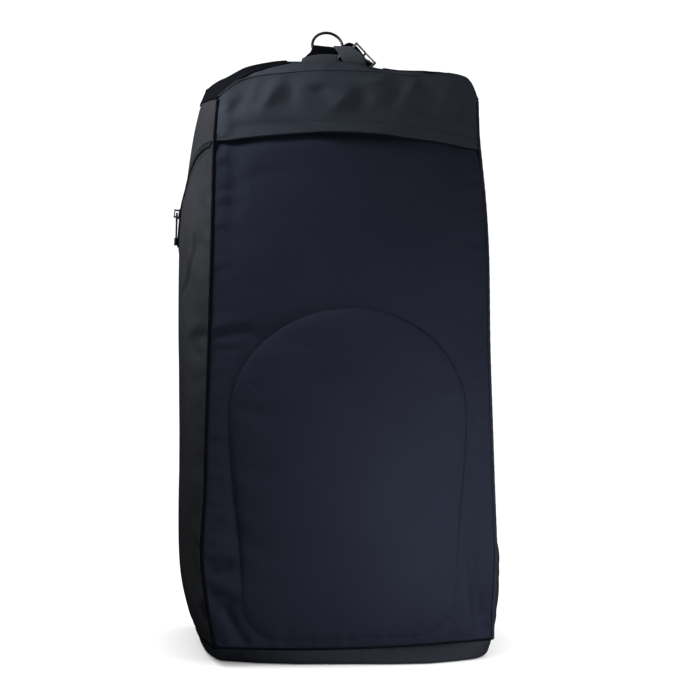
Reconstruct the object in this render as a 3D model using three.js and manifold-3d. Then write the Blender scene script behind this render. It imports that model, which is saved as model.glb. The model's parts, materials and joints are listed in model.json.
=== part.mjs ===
// A soft gym bag that stands on one end, its padded back toward -Y.
// Millimetres, +Z up, the floor at z = 0. Six cloth walls are sewn along twelve corded seams,
// and the hollow between them is the main compartment.
import * as THREE from "three";
import { mergeVertices } from "three/addons/utils/BufferGeometryUtils.js";
import Module from "manifold-3d";

const wasm = await Module();
wasm.setup();

// Cloth, cord and the clearance that is kept between neighbouring pieces
const CLOTH = 2;
const GAP = 0.4;
const SEAM_ROOM = 0.97;
const PIPING_RADIUS = 2.5;
const BINDING_RADIUS = 4.2;

// Hardware on the top end: the ring's bar lies along X
const RING_INNER_RADIUS = 15;
const RING_WIRE_RADIUS = 1.6;
const RING_LEG = 3;
const RING_LEAN = THREE.MathUtils.degToRad(20);
const RING_BAR = new THREE.Vector3(-2, 0, 641);
const LOOP_WIDTH = 22;
const LOOP_SHIFT = -3.2;
const LOOP_WEBBING = 1.7;

// Pocket zip on the left wall: a quarter ellipse from the near seam, then a short straight run down
const ZIP_WIDTH = 12;
const ZIP_CHAIN = 5;
const ZIP_START = { y: -124, z: 519 };
const ZIP_TURN = { y: 0, z: 465 };
const ZIP_END_Z = 424;
const SLIDER_Z = 459;
const PULL_LENGTH = 30;

// The four upright seams. rise runs from a seam's foot to its head; x and y are from the middle.
const UPRIGHTS = [
  { rise: 0.0, left: -136, right: 141, near: 136, farLeft: -129, farRight: 129, far: 118 },
  { rise: 0.05, left: -141, right: 145, near: 139, farLeft: -139, farRight: 138, far: 127 },
  { rise: 0.1, left: -145, right: 147, near: 141, farLeft: -144, farRight: 141, far: 133 },
  { rise: 0.2, left: -146.5, right: 147, near: 142, farLeft: -146, farRight: 143, far: 137 },
  { rise: 0.36, left: -145.5, right: 144.5, near: 142, farLeft: -143, farRight: 141, far: 138 },
  { rise: 0.54, left: -142.5, right: 141.5, near: 141, farLeft: -141, farRight: 140, far: 138 },
  { rise: 0.72, left: -139.5, right: 140.5, near: 139, farLeft: -138, farRight: 139, far: 136 },
  { rise: 0.82, left: -138, right: 138, near: 136, farLeft: -134, farRight: 136, far: 133 },
  { rise: 0.91, left: -136.5, right: 134, near: 132, farLeft: -129, farRight: 132, far: 127 },
  { rise: 1.0, left: -133, right: 131, near: 126, farLeft: -121, farRight: 125, far: 117 },
];
const FEET = { nearLeft: 20, nearRight: 20, farLeft: 22, farRight: 22 };
const HEADS = { nearLeft: 563, nearRight: 566, farLeft: 598, farRight: 592 };

// How far each wall is filled out past its seams, by height: near, side and far walls
const FILL = [
  { v: 0.0, near: 3, left: 1, right: 4, far: 3 },
  { v: 0.1, near: 9, left: 4, right: 10, far: 9 },
  { v: 0.2, near: 13, left: 4, right: 13, far: 13 },
  { v: 0.38, near: 16, left: 5, right: 15, far: 16 },
  { v: 0.55, near: 17, left: 11, right: 16, far: 17 },
  { v: 0.73, near: 16, left: 14, right: 17, far: 16 },
  { v: 0.83, near: 13, left: 9, right: 16, far: 13 },
  { v: 0.92, near: 10, left: 6, right: 13, far: 9 },
  { v: 1.0, near: 5, left: 2, right: 3, far: 4 },
];

// Long soft folds: place and length along the wall, tilt from level in degrees, depth out of it
const FOLDS = {
  near: [
    { across: -118, height: 321, tilt: 12, length: 36, width: 13, depth: -3 },
    { across: -128, height: 72, tilt: 24, length: 26, width: 13, depth: -3 },
    { across: 128, height: 72, tilt: 99, length: 88, width: 13, depth: -6 },
    { across: -78, height: 556, tilt: -18, length: 70, width: 13, depth: -3 },
    { across: 34, height: 552, tilt: 8, length: 90, width: 13, depth: -2.5 },
    { across: 96, height: 546, tilt: 42, length: 46, width: 13, depth: -3 },
  ],
  left: [
    { across: -98, height: 326, tilt: -12, length: 62, width: 15, depth: -5 },
    { across: -46, height: 398, tilt: 46, length: 78, width: 16, depth: -4 },
    { across: -80, height: 96, tilt: 20, length: 70, width: 16, depth: -4 },
  ],
  right: [
    { across: -70, height: 120, tilt: 24, length: 80, width: 16, depth: -4 },
    { across: 20, height: 470, tilt: -12, length: 110, width: 16, depth: -4 },
  ],
  far: [{ across: 60, height: 300, tilt: 20, length: 90, width: 16, depth: -3 }],
  top: [{ across: 64, height: -62, tilt: 40, length: 50, width: 15, depth: -4 }],
};

const { clamp, lerp, smoothstep, degToRad } = THREE.MathUtils;

// A column of a table as a smooth function of the table's key.
function column(table, key, name) {
  const points = table.map((row) => new THREE.Vector2(row[key], row[name]));
  return (at) => {
    const last = points.length - 2;
    const next = points.findIndex((p) => p.x > at);
    const i = next < 0 ? last : Math.min(Math.max(next - 1, 0), last);
    const a = points[i];
    const b = points[i + 1];
    return lerp(a.y, b.y, smoothstep(at, a.x, b.x) * 0.5 + ((at - a.x) / (b.x - a.x)) * 0.5);
  };
}

// An upright seam through the rows of the table.
function uprightSeam(post, xName, yName, ySign) {
  const points = UPRIGHTS.map(
    (row) =>
      new THREE.Vector3(row[xName], ySign * row[yName], lerp(FEET[post], HEADS[post], row.rise)),
  );
  return new THREE.CatmullRomCurve3(points);
}

// A level seam between two corners: it bows out, and rises or sags between them,
// with a shoulder of its own toward each corner.
class LevelSeam extends THREE.Curve {
  constructor(from, to, shape) {
    super();
    Object.assign(this, { from, to, ...shape });
  }

  getPoint(t, target = new THREE.Vector3()) {
    const s = 2 * t - 1;
    target.lerpVectors(this.from, this.to, t).addScaledVector(this.out, this.bow * (1 - s * s));
    target.z += this.rise * (1 - Math.abs(s) ** this.shoulders[s < 0 ? 0 : 1]);
    return target;
  }
}

const NEAR = new THREE.Vector3(0, -1, 0);
const FAR = new THREE.Vector3(0, 1, 0);
const LEFT = new THREE.Vector3(-1, 0, 0);
const RIGHT = new THREE.Vector3(1, 0, 0);
const UP = new THREE.Vector3(0, 0, 1);
const DOWN = new THREE.Vector3(0, 0, -1);

const nearLeft = uprightSeam("nearLeft", "left", "near", -1);
const nearRight = uprightSeam("nearRight", "right", "near", -1);
const farLeft = uprightSeam("farLeft", "farLeft", "far", 1);
const farRight = uprightSeam("farRight", "farRight", "far", 1);

// Level seams, from left to right or from near to far
const foot = (seam) => seam.getPointAt(0);
const head = (seam) => seam.getPointAt(1);
const BASE_EDGE = { bow: 6, rise: -4, shoulders: [2, 2] };
const nearBase = new LevelSeam(foot(nearLeft), foot(nearRight), { out: NEAR, ...BASE_EDGE });
const farBase = new LevelSeam(foot(farLeft), foot(farRight), { out: FAR, ...BASE_EDGE });
const leftBase = new LevelSeam(foot(nearLeft), foot(farLeft), { out: LEFT, ...BASE_EDGE, bow: 12 });
const rightBase = new LevelSeam(foot(nearRight), foot(farRight), { out: RIGHT, ...BASE_EDGE, bow: 9 });
const nearTop = new LevelSeam(head(nearLeft), head(nearRight), {
  out: NEAR,
  bow: 6,
  rise: 29,
  shoulders: [5.5, 8],
});
const farTop = new LevelSeam(head(farLeft), head(farRight), {
  out: FAR,
  bow: 6,
  rise: 20,
  shoulders: [4, 4],
});
const leftTop = new LevelSeam(head(nearLeft), head(farLeft), {
  out: LEFT,
  bow: 7,
  rise: 10,
  shoulders: [3, 3],
});
const rightTop = new LevelSeam(head(nearRight), head(farRight), {
  out: RIGHT,
  bow: 4,
  rise: 9,
  shoulders: [3, 3],
});

// A cloth wall stretched between four seams. u runs along its level seams, v along the others;
// across and along read a point's place on the wall in millimetres.
class Wall {
  constructor({ low, high, start, end, facing, fill, folds = [], across, along }) {
    Object.assign(this, { low, high, start, end, facing, fill, folds, across, along });
    this.corners = [start(0), end(0), start(1), end(1)];
    this.width = across(this.point(1, 0.5)) - across(this.point(0, 0.5));
    this.height = along(this.point(0.5, 1)) - along(this.point(0.5, 0));
  }

  point(u, v) {
    const [c00, c10, c01, c11] = this.corners;
    const p = new THREE.Vector3();
    p.addScaledVector(this.low(u), 1 - v).addScaledVector(this.high(u), v);
    p.addScaledVector(this.start(v), 1 - u).addScaledVector(this.end(v), u);
    p.addScaledVector(c00, -(1 - u) * (1 - v)).addScaledVector(c10, -u * (1 - v));
    p.addScaledVector(c01, -(1 - u) * v).addScaledVector(c11, -u * v);
    const fill = this.fill(u, v, p);
    return p.addScaledVector(this.facing, fill + this.foldDepth(u, v, p));
  }

  foldDepth(u, v, p) {
    let depth = 0;
    for (const fold of this.folds) {
      const turn = degToRad(fold.tilt);
      const a = this.across(p) - fold.across;
      const b = this.along(p) - fold.height;
      const along = a * Math.cos(turn) + b * Math.sin(turn);
      const off = b * Math.cos(turn) - a * Math.sin(turn);
      const reach = Math.exp(-((along / fold.length) ** 2) * 2 - (off / fold.width) ** 2);
      depth += fold.depth * reach;
    }
    const edge = Math.min(u, 1 - u, v, 1 - v);
    return depth * smoothstep(edge, 0, 0.06);
  }

  // The wall's place (u, v) under a point given in millimetres.
  place(across, along) {
    let u = 0.5;
    let v = 0.5;
    for (let i = 0; i < 14; i++) {
      const p = this.point(u, v);
      u = clamp(u + (across - this.across(p)) / this.width, 0, 1);
      v = clamp(v + (along - this.along(p)) / this.height, 0, 1);
    }
    return [u, v];
  }

  at(across, along) {
    return this.point(...this.place(across, along));
  }

  // The part of the wall that is left when each side is cut back from its seam.
  trimmed(insets) {
    const u0 = insets.start / Math.abs(this.width);
    const u1 = 1 - insets.end / Math.abs(this.width);
    const v0 = insets.low / Math.abs(this.height);
    const v1 = 1 - insets.high / Math.abs(this.height);
    return (u, v) => this.point(lerp(u0, u1, u), lerp(v0, v1, v));
  }
}

const byX = (p) => p.x;
const byY = (p) => p.y;
const byZ = (p) => p.z;
const pillow = (t) => 1 - (2 * t - 1) ** 2;
const filled = (name) => {
  const amount = column(FILL, "v", name);
  return (u, v) => amount(v) * pillow(u);
};
const up = (seam) => (t) => seam.getPointAt(t);
const run = (seam) => (t) => seam.getPoint(t);
const back = (seam) => (t) => seam.getPoint(1 - t);

const nearWall = new Wall({
  low: run(nearBase),
  high: run(nearTop),
  start: up(nearLeft),
  end: up(nearRight),
  facing: NEAR,
  fill: filled("near"),
  folds: FOLDS.near,
  across: byX,
  along: byZ,
});
const farWall = new Wall({
  low: back(farBase),
  high: back(farTop),
  start: up(farRight),
  end: up(farLeft),
  facing: FAR,
  fill: filled("far"),
  folds: FOLDS.far,
  across: byX,
  along: byZ,
});
const leftWall = new Wall({
  low: back(leftBase),
  high: back(leftTop),
  start: up(farLeft),
  end: up(nearLeft),
  facing: LEFT,
  fill: filled("left"),
  folds: FOLDS.left,
  across: byY,
  along: byZ,
});
const rightWall = new Wall({
  low: run(rightBase),
  high: run(rightTop),
  start: up(nearRight),
  end: up(farRight),
  facing: RIGHT,
  fill: filled("right"),
  folds: FOLDS.right,
  across: byY,
  along: byZ,
});
// The top end domes, more on the left.
const TOP_DOME = { left: 13.5, right: 3.6 };
const topWall = new Wall({
  low: run(nearTop),
  high: run(farTop),
  start: run(leftTop),
  end: run(rightTop),
  facing: UP,
  fill: (u, v) => lerp(TOP_DOME.left, TOP_DOME.right, u) * pillow(u) * pillow(v),
  folds: FOLDS.top,
  across: byX,
  along: byY,
});
// The base end lies flat on the floor inside a rim that rounds up to its seams.
const BASE_RIM = { ends: 11, sides: 22 };
const BASE_SPAN = { ends: 250, sides: 270 };
const baseWall = new Wall({
  low: run(farBase),
  high: run(nearBase),
  start: back(leftBase),
  end: back(rightBase),
  facing: DOWN,
  fill: (u, v, p) => {
    const ends = clamp((Math.min(v, 1 - v) * BASE_SPAN.ends) / BASE_RIM.ends, 0, 1);
    const sides = clamp((Math.min(u, 1 - u) * BASE_SPAN.sides) / BASE_RIM.sides, 0, 1);
    return p.z * Math.sin((ends * Math.PI) / 2) * Math.sin((Math.sqrt(sides) * Math.PI) / 2);
  },
  across: byX,
  along: byY,
});

// Geometry with its vertices merged, so that it is one closed surface.
function welded(geometry) {
  geometry.deleteAttribute("normal");
  geometry.deleteAttribute("uv");
  return mergeVertices(geometry, 1e-3);
}

function normalAt(surface, u, v) {
  const step = 2e-3;
  const du = surface(Math.min(u + step, 1), v).sub(surface(Math.max(u - step, 0), v));
  const dv = surface(u, Math.min(v + step, 1)).sub(surface(u, Math.max(v - step, 0)));
  return du.cross(dv).normalize();
}

// A sheet bent onto a surface: a flat box whose front takes the offset outer from the surface
// and whose back takes inner. Its rows crowd a little toward the rim.
const constant = (value) => () => value;
function bentSheet(surface, { columns, rows, outer = constant(0), inner = constant(-CLOTH), crowd = 0.5 }) {
  const sheet = new THREE.BoxGeometry(1, 1, 1, columns, rows, 1);
  const place = sheet.attributes.position;
  const spread = (t) => lerp(t, 0.5 - 0.5 * Math.cos(Math.PI * t), crowd);
  for (let i = 0; i < place.count; i++) {
    const u = spread(place.getX(i) + 0.5);
    const v = spread(place.getY(i) + 0.5);
    const offset = place.getZ(i) > 0 ? outer(u, v) : inner(u, v);
    const p = surface(u, v).addScaledVector(normalAt(surface, u, v), offset);
    place.setXYZ(i, p.x, p.y, p.z);
  }
  return welded(sheet);
}

function roundShape(radius, sides) {
  const shape = new THREE.Shape();
  for (let i = 0; i < sides; i++) {
    const turn = (2 * Math.PI * i) / sides;
    const [x, y] = [radius * Math.cos(turn), radius * Math.sin(turn)];
    if (i === 0) shape.moveTo(x, y);
    else shape.lineTo(x, y);
  }
  return shape;
}

// A round cord along a curve.
function cord(curve, radius, sides, steps) {
  const shape = roundShape(radius, sides);
  return welded(new THREE.ExtrudeGeometry(shape, { steps, bevelEnabled: false, extrudePath: curve }));
}

function solidOf(geometry) {
  return new wasm.Manifold(
    new wasm.Mesh({
      numProp: 3,
      vertProperties: new Float32Array(geometry.attributes.position.array),
      triVerts: new Uint32Array(geometry.index.array),
    }),
  );
}

// Several closed geometries as one.
function joined(...geometries) {
  const mesh = wasm.Manifold.union(geometries.map(solidOf)).getMesh();
  const geometry = new THREE.BufferGeometry();
  geometry.setAttribute("position", new THREE.BufferAttribute(new Float32Array(mesh.vertProperties), 3));
  geometry.setIndex(new THREE.BufferAttribute(new Uint32Array(mesh.triVerts), 1));
  return geometry;
}

const cloth = new THREE.MeshStandardMaterial({ color: "#20242f", roughness: 0.85 });
const sideCloth = new THREE.MeshStandardMaterial({ color: "#2b2c30", roughness: 0.85 });
const trim = new THREE.MeshStandardMaterial({ color: "#111419", roughness: 0.8 });
const webbing = new THREE.MeshStandardMaterial({ color: "#33383e", roughness: 0.8 });
const darkMetal = new THREE.MeshStandardMaterial({ color: "#4a4b4e", roughness: 0.35, metalness: 1 });
const paleMetal = new THREE.MeshStandardMaterial({ color: "#9a9b9d", roughness: 0.3, metalness: 1 });

const bag = new THREE.Group();
function add(name, geometry, material) {
  const mesh = new THREE.Mesh(geometry, material);
  mesh.name = name;
  bag.add(mesh);
  return mesh;
}

const CUT = PIPING_RADIUS + SEAM_ROOM;
const BOUND = BINDING_RADIUS + SEAM_ROOM;
const ALL_ROUND = { start: CUT, end: CUT, low: CUT, high: BOUND };

// Back: the lower layer ends out of sight under the flap, whose hem arches up in the middle.
const HEM = { side: 520, rise: 9.5, tilt: -1.5 };
const TUCK = 26;
const nearShare = (u, z) => {
  const low = nearWall.point(u, 0).z;
  return (z - low) / (nearWall.point(u, 1).z - low);
};
const hem = (u) => HEM.side + HEM.rise * pillow(u) + HEM.tilt * (2 * u - 1);
const nearCut = CUT / nearWall.width;
const backSheet = (u, v) => {
  const across = lerp(nearCut, 1 - nearCut, u);
  return nearWall.point(across, lerp(CUT / nearWall.height, nearShare(across, hem(across) + TUCK), v));
};
add("back_panel", bentSheet(backSheet, { columns: 14, rows: 22 }), cloth);

const flapCut = (CUT + GAP) / nearWall.width;
const flapSheet = (u, v) => {
  const across = lerp(flapCut, 1 - flapCut, u);
  const level = Math.abs(nearTop.getTangent(across).x);
  const crest = 1 - (CUT + GAP) / level / nearWall.height;
  return nearWall.point(across, lerp(nearShare(across, hem(across)), crest, v));
};
// The hem stands off the lower layer, most in the middle, and comes back to it below the seam.
const HEM_LIFT = { sides: 0.7, middle: 3.3, fromShare: 0.62, toShare: 0.97 };
const FLAP_CLOTH = 1.8;
const flapLift = (u, v) => {
  const lift = lerp(HEM_LIFT.sides, HEM_LIFT.middle, pillow(u));
  return lift * (1 - smoothstep(v, HEM_LIFT.fromShare, HEM_LIFT.toShare));
};
add(
  "strap_flap",
  bentSheet(flapSheet, {
    columns: 16,
    rows: 6,
    outer: (u, v) => flapLift(u, v) + FLAP_CLOTH,
    inner: flapLift,
  }),
  cloth,
);

// Padded insert: an arch above, straight sides that draw in, rounded corners below
const PAD = {
  middle: -3,
  springline: 249,
  archRise: 107,
  halfWidth: 120,
  footHalfWidth: 108,
  foot: 26,
  corner: 40,
  edge: 1.9,
  crown: 4.2,
  back: 0.9,
};
function padSheet(u, v) {
  const s = 2 * u - 1;
  const t = lerp(-1, 1, v);
  if (t >= 0) {
    const x = PAD.halfWidth * s * Math.sqrt(1 - (t * t) / 2);
    const z = PAD.springline + PAD.archRise * t * Math.sqrt(1 - (s * s) / 2);
    return nearWall.at(PAD.middle + x, z);
  }
  const half = lerp(PAD.halfWidth, PAD.footHalfWidth, smoothstep(-t, 0, 0.8));
  const past = Math.max(0, (Math.abs(s) * half - (half - PAD.corner)) / PAD.corner);
  const foot = PAD.foot + PAD.corner * (1 - Math.sqrt(Math.max(0, 1 - Math.min(past, 1) ** 2)));
  return nearWall.at(PAD.middle + half * s, lerp(PAD.springline, foot, -t));
}
const flatTop = (t) => 1 - Math.abs(2 * t - 1) ** 5;
const padCrown = (u, v) => PAD.edge + PAD.crown * flatTop(u) * flatTop(v);
add(
  "back_pad",
  bentSheet(padSheet, { columns: 14, rows: 18, outer: padCrown, inner: constant(PAD.back), crowd: 0.7 }),
  cloth,
);

add("left_panel", bentSheet(leftWall.trimmed(ALL_ROUND), { columns: 10, rows: 20 }), sideCloth);
add("right_panel", bentSheet(rightWall.trimmed(ALL_ROUND), { columns: 8, rows: 18 }), sideCloth);
add("front_panel", bentSheet(farWall.trimmed(ALL_ROUND), { columns: 10, rows: 18 }), cloth);
const topCuts = { start: BOUND, end: BOUND, low: CUT, high: BOUND };
add("top_panel", bentSheet(topWall.trimmed(topCuts), { columns: 12, rows: 10 }), cloth);
// The base drops steeply from its seams, so it is cut back less in plan.
const baseCuts = { start: 1.1, end: 1.1, low: 2, high: 2 };
add("base_panel", bentSheet(baseWall.trimmed(baseCuts), { columns: 12, rows: 12 }), sideCloth);

// Corded seams, each a little short of the corners where three of them meet
function seamCord(curve, radius, shortBy, steps) {
  const length = curve.getLength();
  const points = [];
  for (let i = 0; i <= steps; i++) {
    points.push(curve.getPointAt(lerp(shortBy / length, 1 - shortBy / length, i / steps)));
  }
  return cord(new THREE.CatmullRomCurve3(points), radius, 6, steps);
}
const SEAMS = [
  { name: "piping_near_left", curve: nearLeft, radius: PIPING_RADIUS, steps: 18 },
  { name: "piping_near_right", curve: nearRight, radius: PIPING_RADIUS, steps: 18 },
  { name: "piping_far_left", curve: farLeft, radius: PIPING_RADIUS, steps: 16 },
  { name: "piping_far_right", curve: farRight, radius: PIPING_RADIUS, steps: 16 },
  { name: "piping_near_base", curve: nearBase, radius: PIPING_RADIUS, steps: 10 },
  { name: "piping_far_base", curve: farBase, radius: PIPING_RADIUS, steps: 10 },
  { name: "piping_left_base", curve: leftBase, radius: PIPING_RADIUS, steps: 10 },
  { name: "piping_right_base", curve: rightBase, radius: PIPING_RADIUS, steps: 10 },
  { name: "piping_near_top", curve: nearTop, radius: PIPING_RADIUS, steps: 14 },
  { name: "binding_far_top", curve: farTop, radius: BINDING_RADIUS, steps: 12 },
  { name: "binding_left_top", curve: leftTop, radius: BINDING_RADIUS, steps: 10 },
  { name: "binding_right_top", curve: rightTop, radius: BINDING_RADIUS, steps: 10 },
];
const CORNER_ROOM = BINDING_RADIUS + 1.2;
for (const { name, curve, radius, steps } of SEAMS) {
  add(name, seamCord(curve, radius, CORNER_ROOM, steps), trim);
}

// Zips: a tape that lies on its wall, with the closed chain as a rib along its middle
const ZIP_TAPE_TOP = 1.5;
const ZIP_CHAIN_TOP = 2.6;
const ZIP_LENGTH = 220;
const chainRib = (u) => (Math.abs(2 * u - 1) * ZIP_WIDTH < ZIP_CHAIN ? ZIP_CHAIN_TOP : ZIP_TAPE_TOP);
const zipCurve = (t) => {
  const straight = (ZIP_TURN.z - ZIP_END_Z) / ZIP_LENGTH;
  if (t > 1 - straight) {
    return { y: ZIP_TURN.y, z: lerp(ZIP_TURN.z, ZIP_END_Z, (t - 1 + straight) / straight) };
  }
  const turn = (t / (1 - straight)) * (Math.PI / 2);
  return {
    y: lerp(ZIP_START.y, ZIP_TURN.y, Math.sin(turn)),
    z: lerp(ZIP_TURN.z, ZIP_START.z, Math.cos(turn)),
  };
};
const pocketZipSheet = (u, v) => {
  const at = zipCurve(v);
  const ahead = zipCurve(Math.min(v + 0.01, 1));
  const behind = zipCurve(Math.max(v - 0.01, 0));
  const run = new THREE.Vector2(ahead.y - behind.y, ahead.z - behind.z).normalize();
  const off = (u - 0.5) * ZIP_WIDTH;
  return leftWall.at(at.y - run.y * off, at.z + run.x * off);
};
const zipSheet = { columns: 6, outer: chainRib, inner: constant(GAP), crowd: 0 };
add("pocket_zip", bentSheet(pocketZipSheet, { ...zipSheet, rows: 20 }), trim);
const MAIN_ZIP = { width: 19.2, low: 60, high: 575 };
const mainZipSheet = (u, v) => farWall.at((0.5 - u) * MAIN_ZIP.width, lerp(MAIN_ZIP.low, MAIN_ZIP.high, v));
add("main_zip", bentSheet(mainZipSheet, { ...zipSheet, rows: 20 }), trim);

// Pocket slider: a block with a bridge that runs along the chain; the pull's bar passes under it.
const sliderSpot = leftWall.at(ZIP_TURN.y, SLIDER_Z);
const SLIDER = {
  width: 9,
  length: 11,
  thick: 2.6,
  bridge: 3,
  post: 1.8,
  postInset: 1,
  tunnel: 3.8,
  crown: 1.2,
  seat: 3.2,
};
function block(width, depth, height, x, y, z) {
  return welded(new THREE.BoxGeometry(width, depth, height).translate(x, y, z));
}
const sliderTop = SLIDER.thick;
const crownAt = sliderTop + SLIDER.tunnel + SLIDER.crown / 2;
const postAt = (SLIDER.length - SLIDER.post) / 2 - SLIDER.postInset;
const postTall = SLIDER.tunnel + SLIDER.crown + GAP;
const postOut = -sliderTop - postTall / 2 + GAP;
const slider = joined(
  block(SLIDER.thick, SLIDER.width, SLIDER.length, -SLIDER.thick / 2, 0, 0),
  block(SLIDER.crown, SLIDER.bridge, postAt * 2 + SLIDER.post, -crownAt, 0, 0),
  block(postTall, SLIDER.bridge, SLIDER.post, postOut, 0, postAt),
  block(postTall, SLIDER.bridge, SLIDER.post, postOut, 0, -postAt),
);
const LEAN_REACH = 8;
const sliderLean = Math.atan2(
  leftWall.at(ZIP_TURN.y, SLIDER_Z + LEAN_REACH).x - leftWall.at(ZIP_TURN.y, SLIDER_Z - LEAN_REACH).x,
  2 * LEAN_REACH,
);
const sliderSeat = new THREE.Vector3(sliderSpot.x - SLIDER.seat, ZIP_TURN.y, SLIDER_Z);
slider.rotateY(sliderLean).translate(sliderSeat.x, sliderSeat.y, sliderSeat.z);
add("pocket_zip_slider", slider, darkMetal);

// The pull hangs in toward the cloth: a frame round the bridge, a flat stem and a small knob.
const pivot = new THREE.Vector3(-sliderTop - SLIDER.tunnel / 2, 0, 0);
pivot.applyAxisAngle(new THREE.Vector3(0, 1, 0), sliderLean).add(sliderSeat);
const PULL = { thick: 1.8, frame: 9, window: 5.4, bar: 0.9, reach: 9, sill: 0.8, taper: 3, stem: 6 };
const PULL_TUCK = (-5.5 * Math.PI) / 180;
const KNOB = { radius: 2.2, length: 8 };
const pullOutline = new THREE.Shape();
pullOutline.moveTo(-PULL.frame / 2, PULL.bar);
pullOutline.lineTo(-PULL.frame / 2, -PULL.reach);
pullOutline.lineTo(-PULL.stem / 2, -PULL.reach - PULL.taper);
pullOutline.lineTo(-PULL.stem / 2, -PULL_LENGTH);
pullOutline.lineTo(PULL.stem / 2, -PULL_LENGTH);
pullOutline.lineTo(PULL.stem / 2, -PULL.reach - PULL.taper);
pullOutline.lineTo(PULL.frame / 2, -PULL.reach);
pullOutline.lineTo(PULL.frame / 2, PULL.bar);
const pullWindow = new THREE.Path();
pullWindow.moveTo(-PULL.window / 2, -PULL.bar);
pullWindow.lineTo(PULL.window / 2, -PULL.bar);
pullWindow.lineTo(PULL.window / 2, -PULL.reach + PULL.sill);
pullWindow.lineTo(-PULL.window / 2, -PULL.reach + PULL.sill);
pullOutline.holes.push(pullWindow);
const pullFlat = new THREE.ExtrudeGeometry(pullOutline, { depth: PULL.thick, bevelEnabled: false });
pullFlat.translate(0, 0, -PULL.thick / 2).rotateX(Math.PI / 2).rotateZ(-Math.PI / 2);
const knob = new THREE.CylinderGeometry(KNOB.radius, KNOB.radius, KNOB.length, 10);
knob.rotateX(Math.PI / 2).translate(0, 0, -PULL_LENGTH);
const pull = joined(welded(pullFlat), welded(knob)).rotateY(sliderLean + PULL_TUCK);
pull.translate(pivot.x, pivot.y, pivot.z);
add("pocket_zip_pull", pull, darkMetal);

// Ring, upright in its loop and leaning back: an arch of wire on a straight bar
const archRadius = RING_INNER_RADIUS + RING_WIRE_RADIUS;
const ARCH_STEPS = 12;
const archPoints = [new THREE.Vector3(-archRadius, 0, 0)];
for (let i = 0; i <= ARCH_STEPS; i++) {
  const turn = Math.PI * (1 - i / ARCH_STEPS);
  archPoints.push(
    new THREE.Vector3(archRadius * Math.cos(turn), 0, RING_LEG + archRadius * Math.sin(turn)),
  );
}
archPoints.push(new THREE.Vector3(archRadius, 0, 0));
const arch = cord(new THREE.CatmullRomCurve3(archPoints), RING_WIRE_RADIUS, 8, 26);
const barLength = 2 * (archRadius + RING_WIRE_RADIUS);
const bar = new THREE.CylinderGeometry(RING_WIRE_RADIUS, RING_WIRE_RADIUS, barLength, 12);
const ring = joined(arch, welded(bar.rotateZ(Math.PI / 2)));
ring.rotateX(-RING_LEAN).translate(RING_BAR.x, RING_BAR.y, RING_BAR.z);
add("d_ring", ring, darkMetal);

// Tab: a folded, stitched lump of cloth on the top wall, wider at its foot
const TAB = { left: -36, right: 13, near: -7, far: 7, top: 631, endSlump: 0.45, sideSlump: 0.12 };
const tabSheet = (u, v) => topWall.at(lerp(TAB.left, TAB.right, u), lerp(TAB.near, TAB.far, v));
const tabTop = (u, v) => {
  const rise = TAB.top - tabSheet(u, v).z;
  const ends = 1 - TAB.endSlump * Math.abs(2 * u - 1) ** 3;
  return rise * ends * (1 - TAB.sideSlump * (2 * v - 1) ** 2);
};
const tab = bentSheet(tabSheet, { columns: 6, rows: 4, outer: tabTop, inner: constant(GAP), crowd: 0.3 });
add("ring_tab", tab, cloth);

// Flat webbing across the top wall, from each side seam toward the tab
const END_WEBBING = { near: -4, far: 34, top: 2.3, under: 0.7 };
const END_WEBBING_RUNS = [
  { name: "end_webbing_left", from: -118, to: -38 },
  { name: "end_webbing_right", from: 52, to: 120 },
];
const webbingFace = {
  columns: 8,
  rows: 3,
  outer: constant(END_WEBBING.top),
  inner: constant(END_WEBBING.under),
  crowd: 0.2,
};
for (const { name, from, to } of END_WEBBING_RUNS) {
  const sheet = (u, v) => topWall.at(lerp(from, to, u), lerp(END_WEBBING.near, END_WEBBING.far, v));
  add(name, bentSheet(sheet, webbingFace), trim);
}

// Webbing loop: a keyhole section round the bar, run along X
const loopInner = RING_WIRE_RADIUS + GAP;
const loopOuter = loopInner + LOOP_WEBBING;
const LOOP_FOOT = TAB.top + GAP - RING_BAR.z;
const keyhole = new THREE.Shape();
const LOOP_STEM = 2.2;
const neck = Math.asin(LOOP_STEM / loopOuter);
keyhole.moveTo(-LOOP_STEM, LOOP_FOOT);
keyhole.lineTo(LOOP_STEM, LOOP_FOOT);
keyhole.absarc(0, 0, loopOuter, -Math.PI / 2 + neck, (3 * Math.PI) / 2 - neck, false);
keyhole.closePath();
const eye = new THREE.Path();
eye.absarc(0, 0, loopInner, 0, 2 * Math.PI, true);
keyhole.holes.push(eye);
const loopBand = new THREE.ExtrudeGeometry(keyhole, {
  depth: LOOP_WIDTH,
  bevelEnabled: false,
  curveSegments: 6,
});
loopBand.translate(0, 0, -LOOP_WIDTH / 2).rotateX(Math.PI / 2).rotateZ(Math.PI / 2);
loopBand.translate(RING_BAR.x + LOOP_SHIFT, RING_BAR.y, RING_BAR.z);
add("ring_loop", welded(loopBand), trim);

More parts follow.
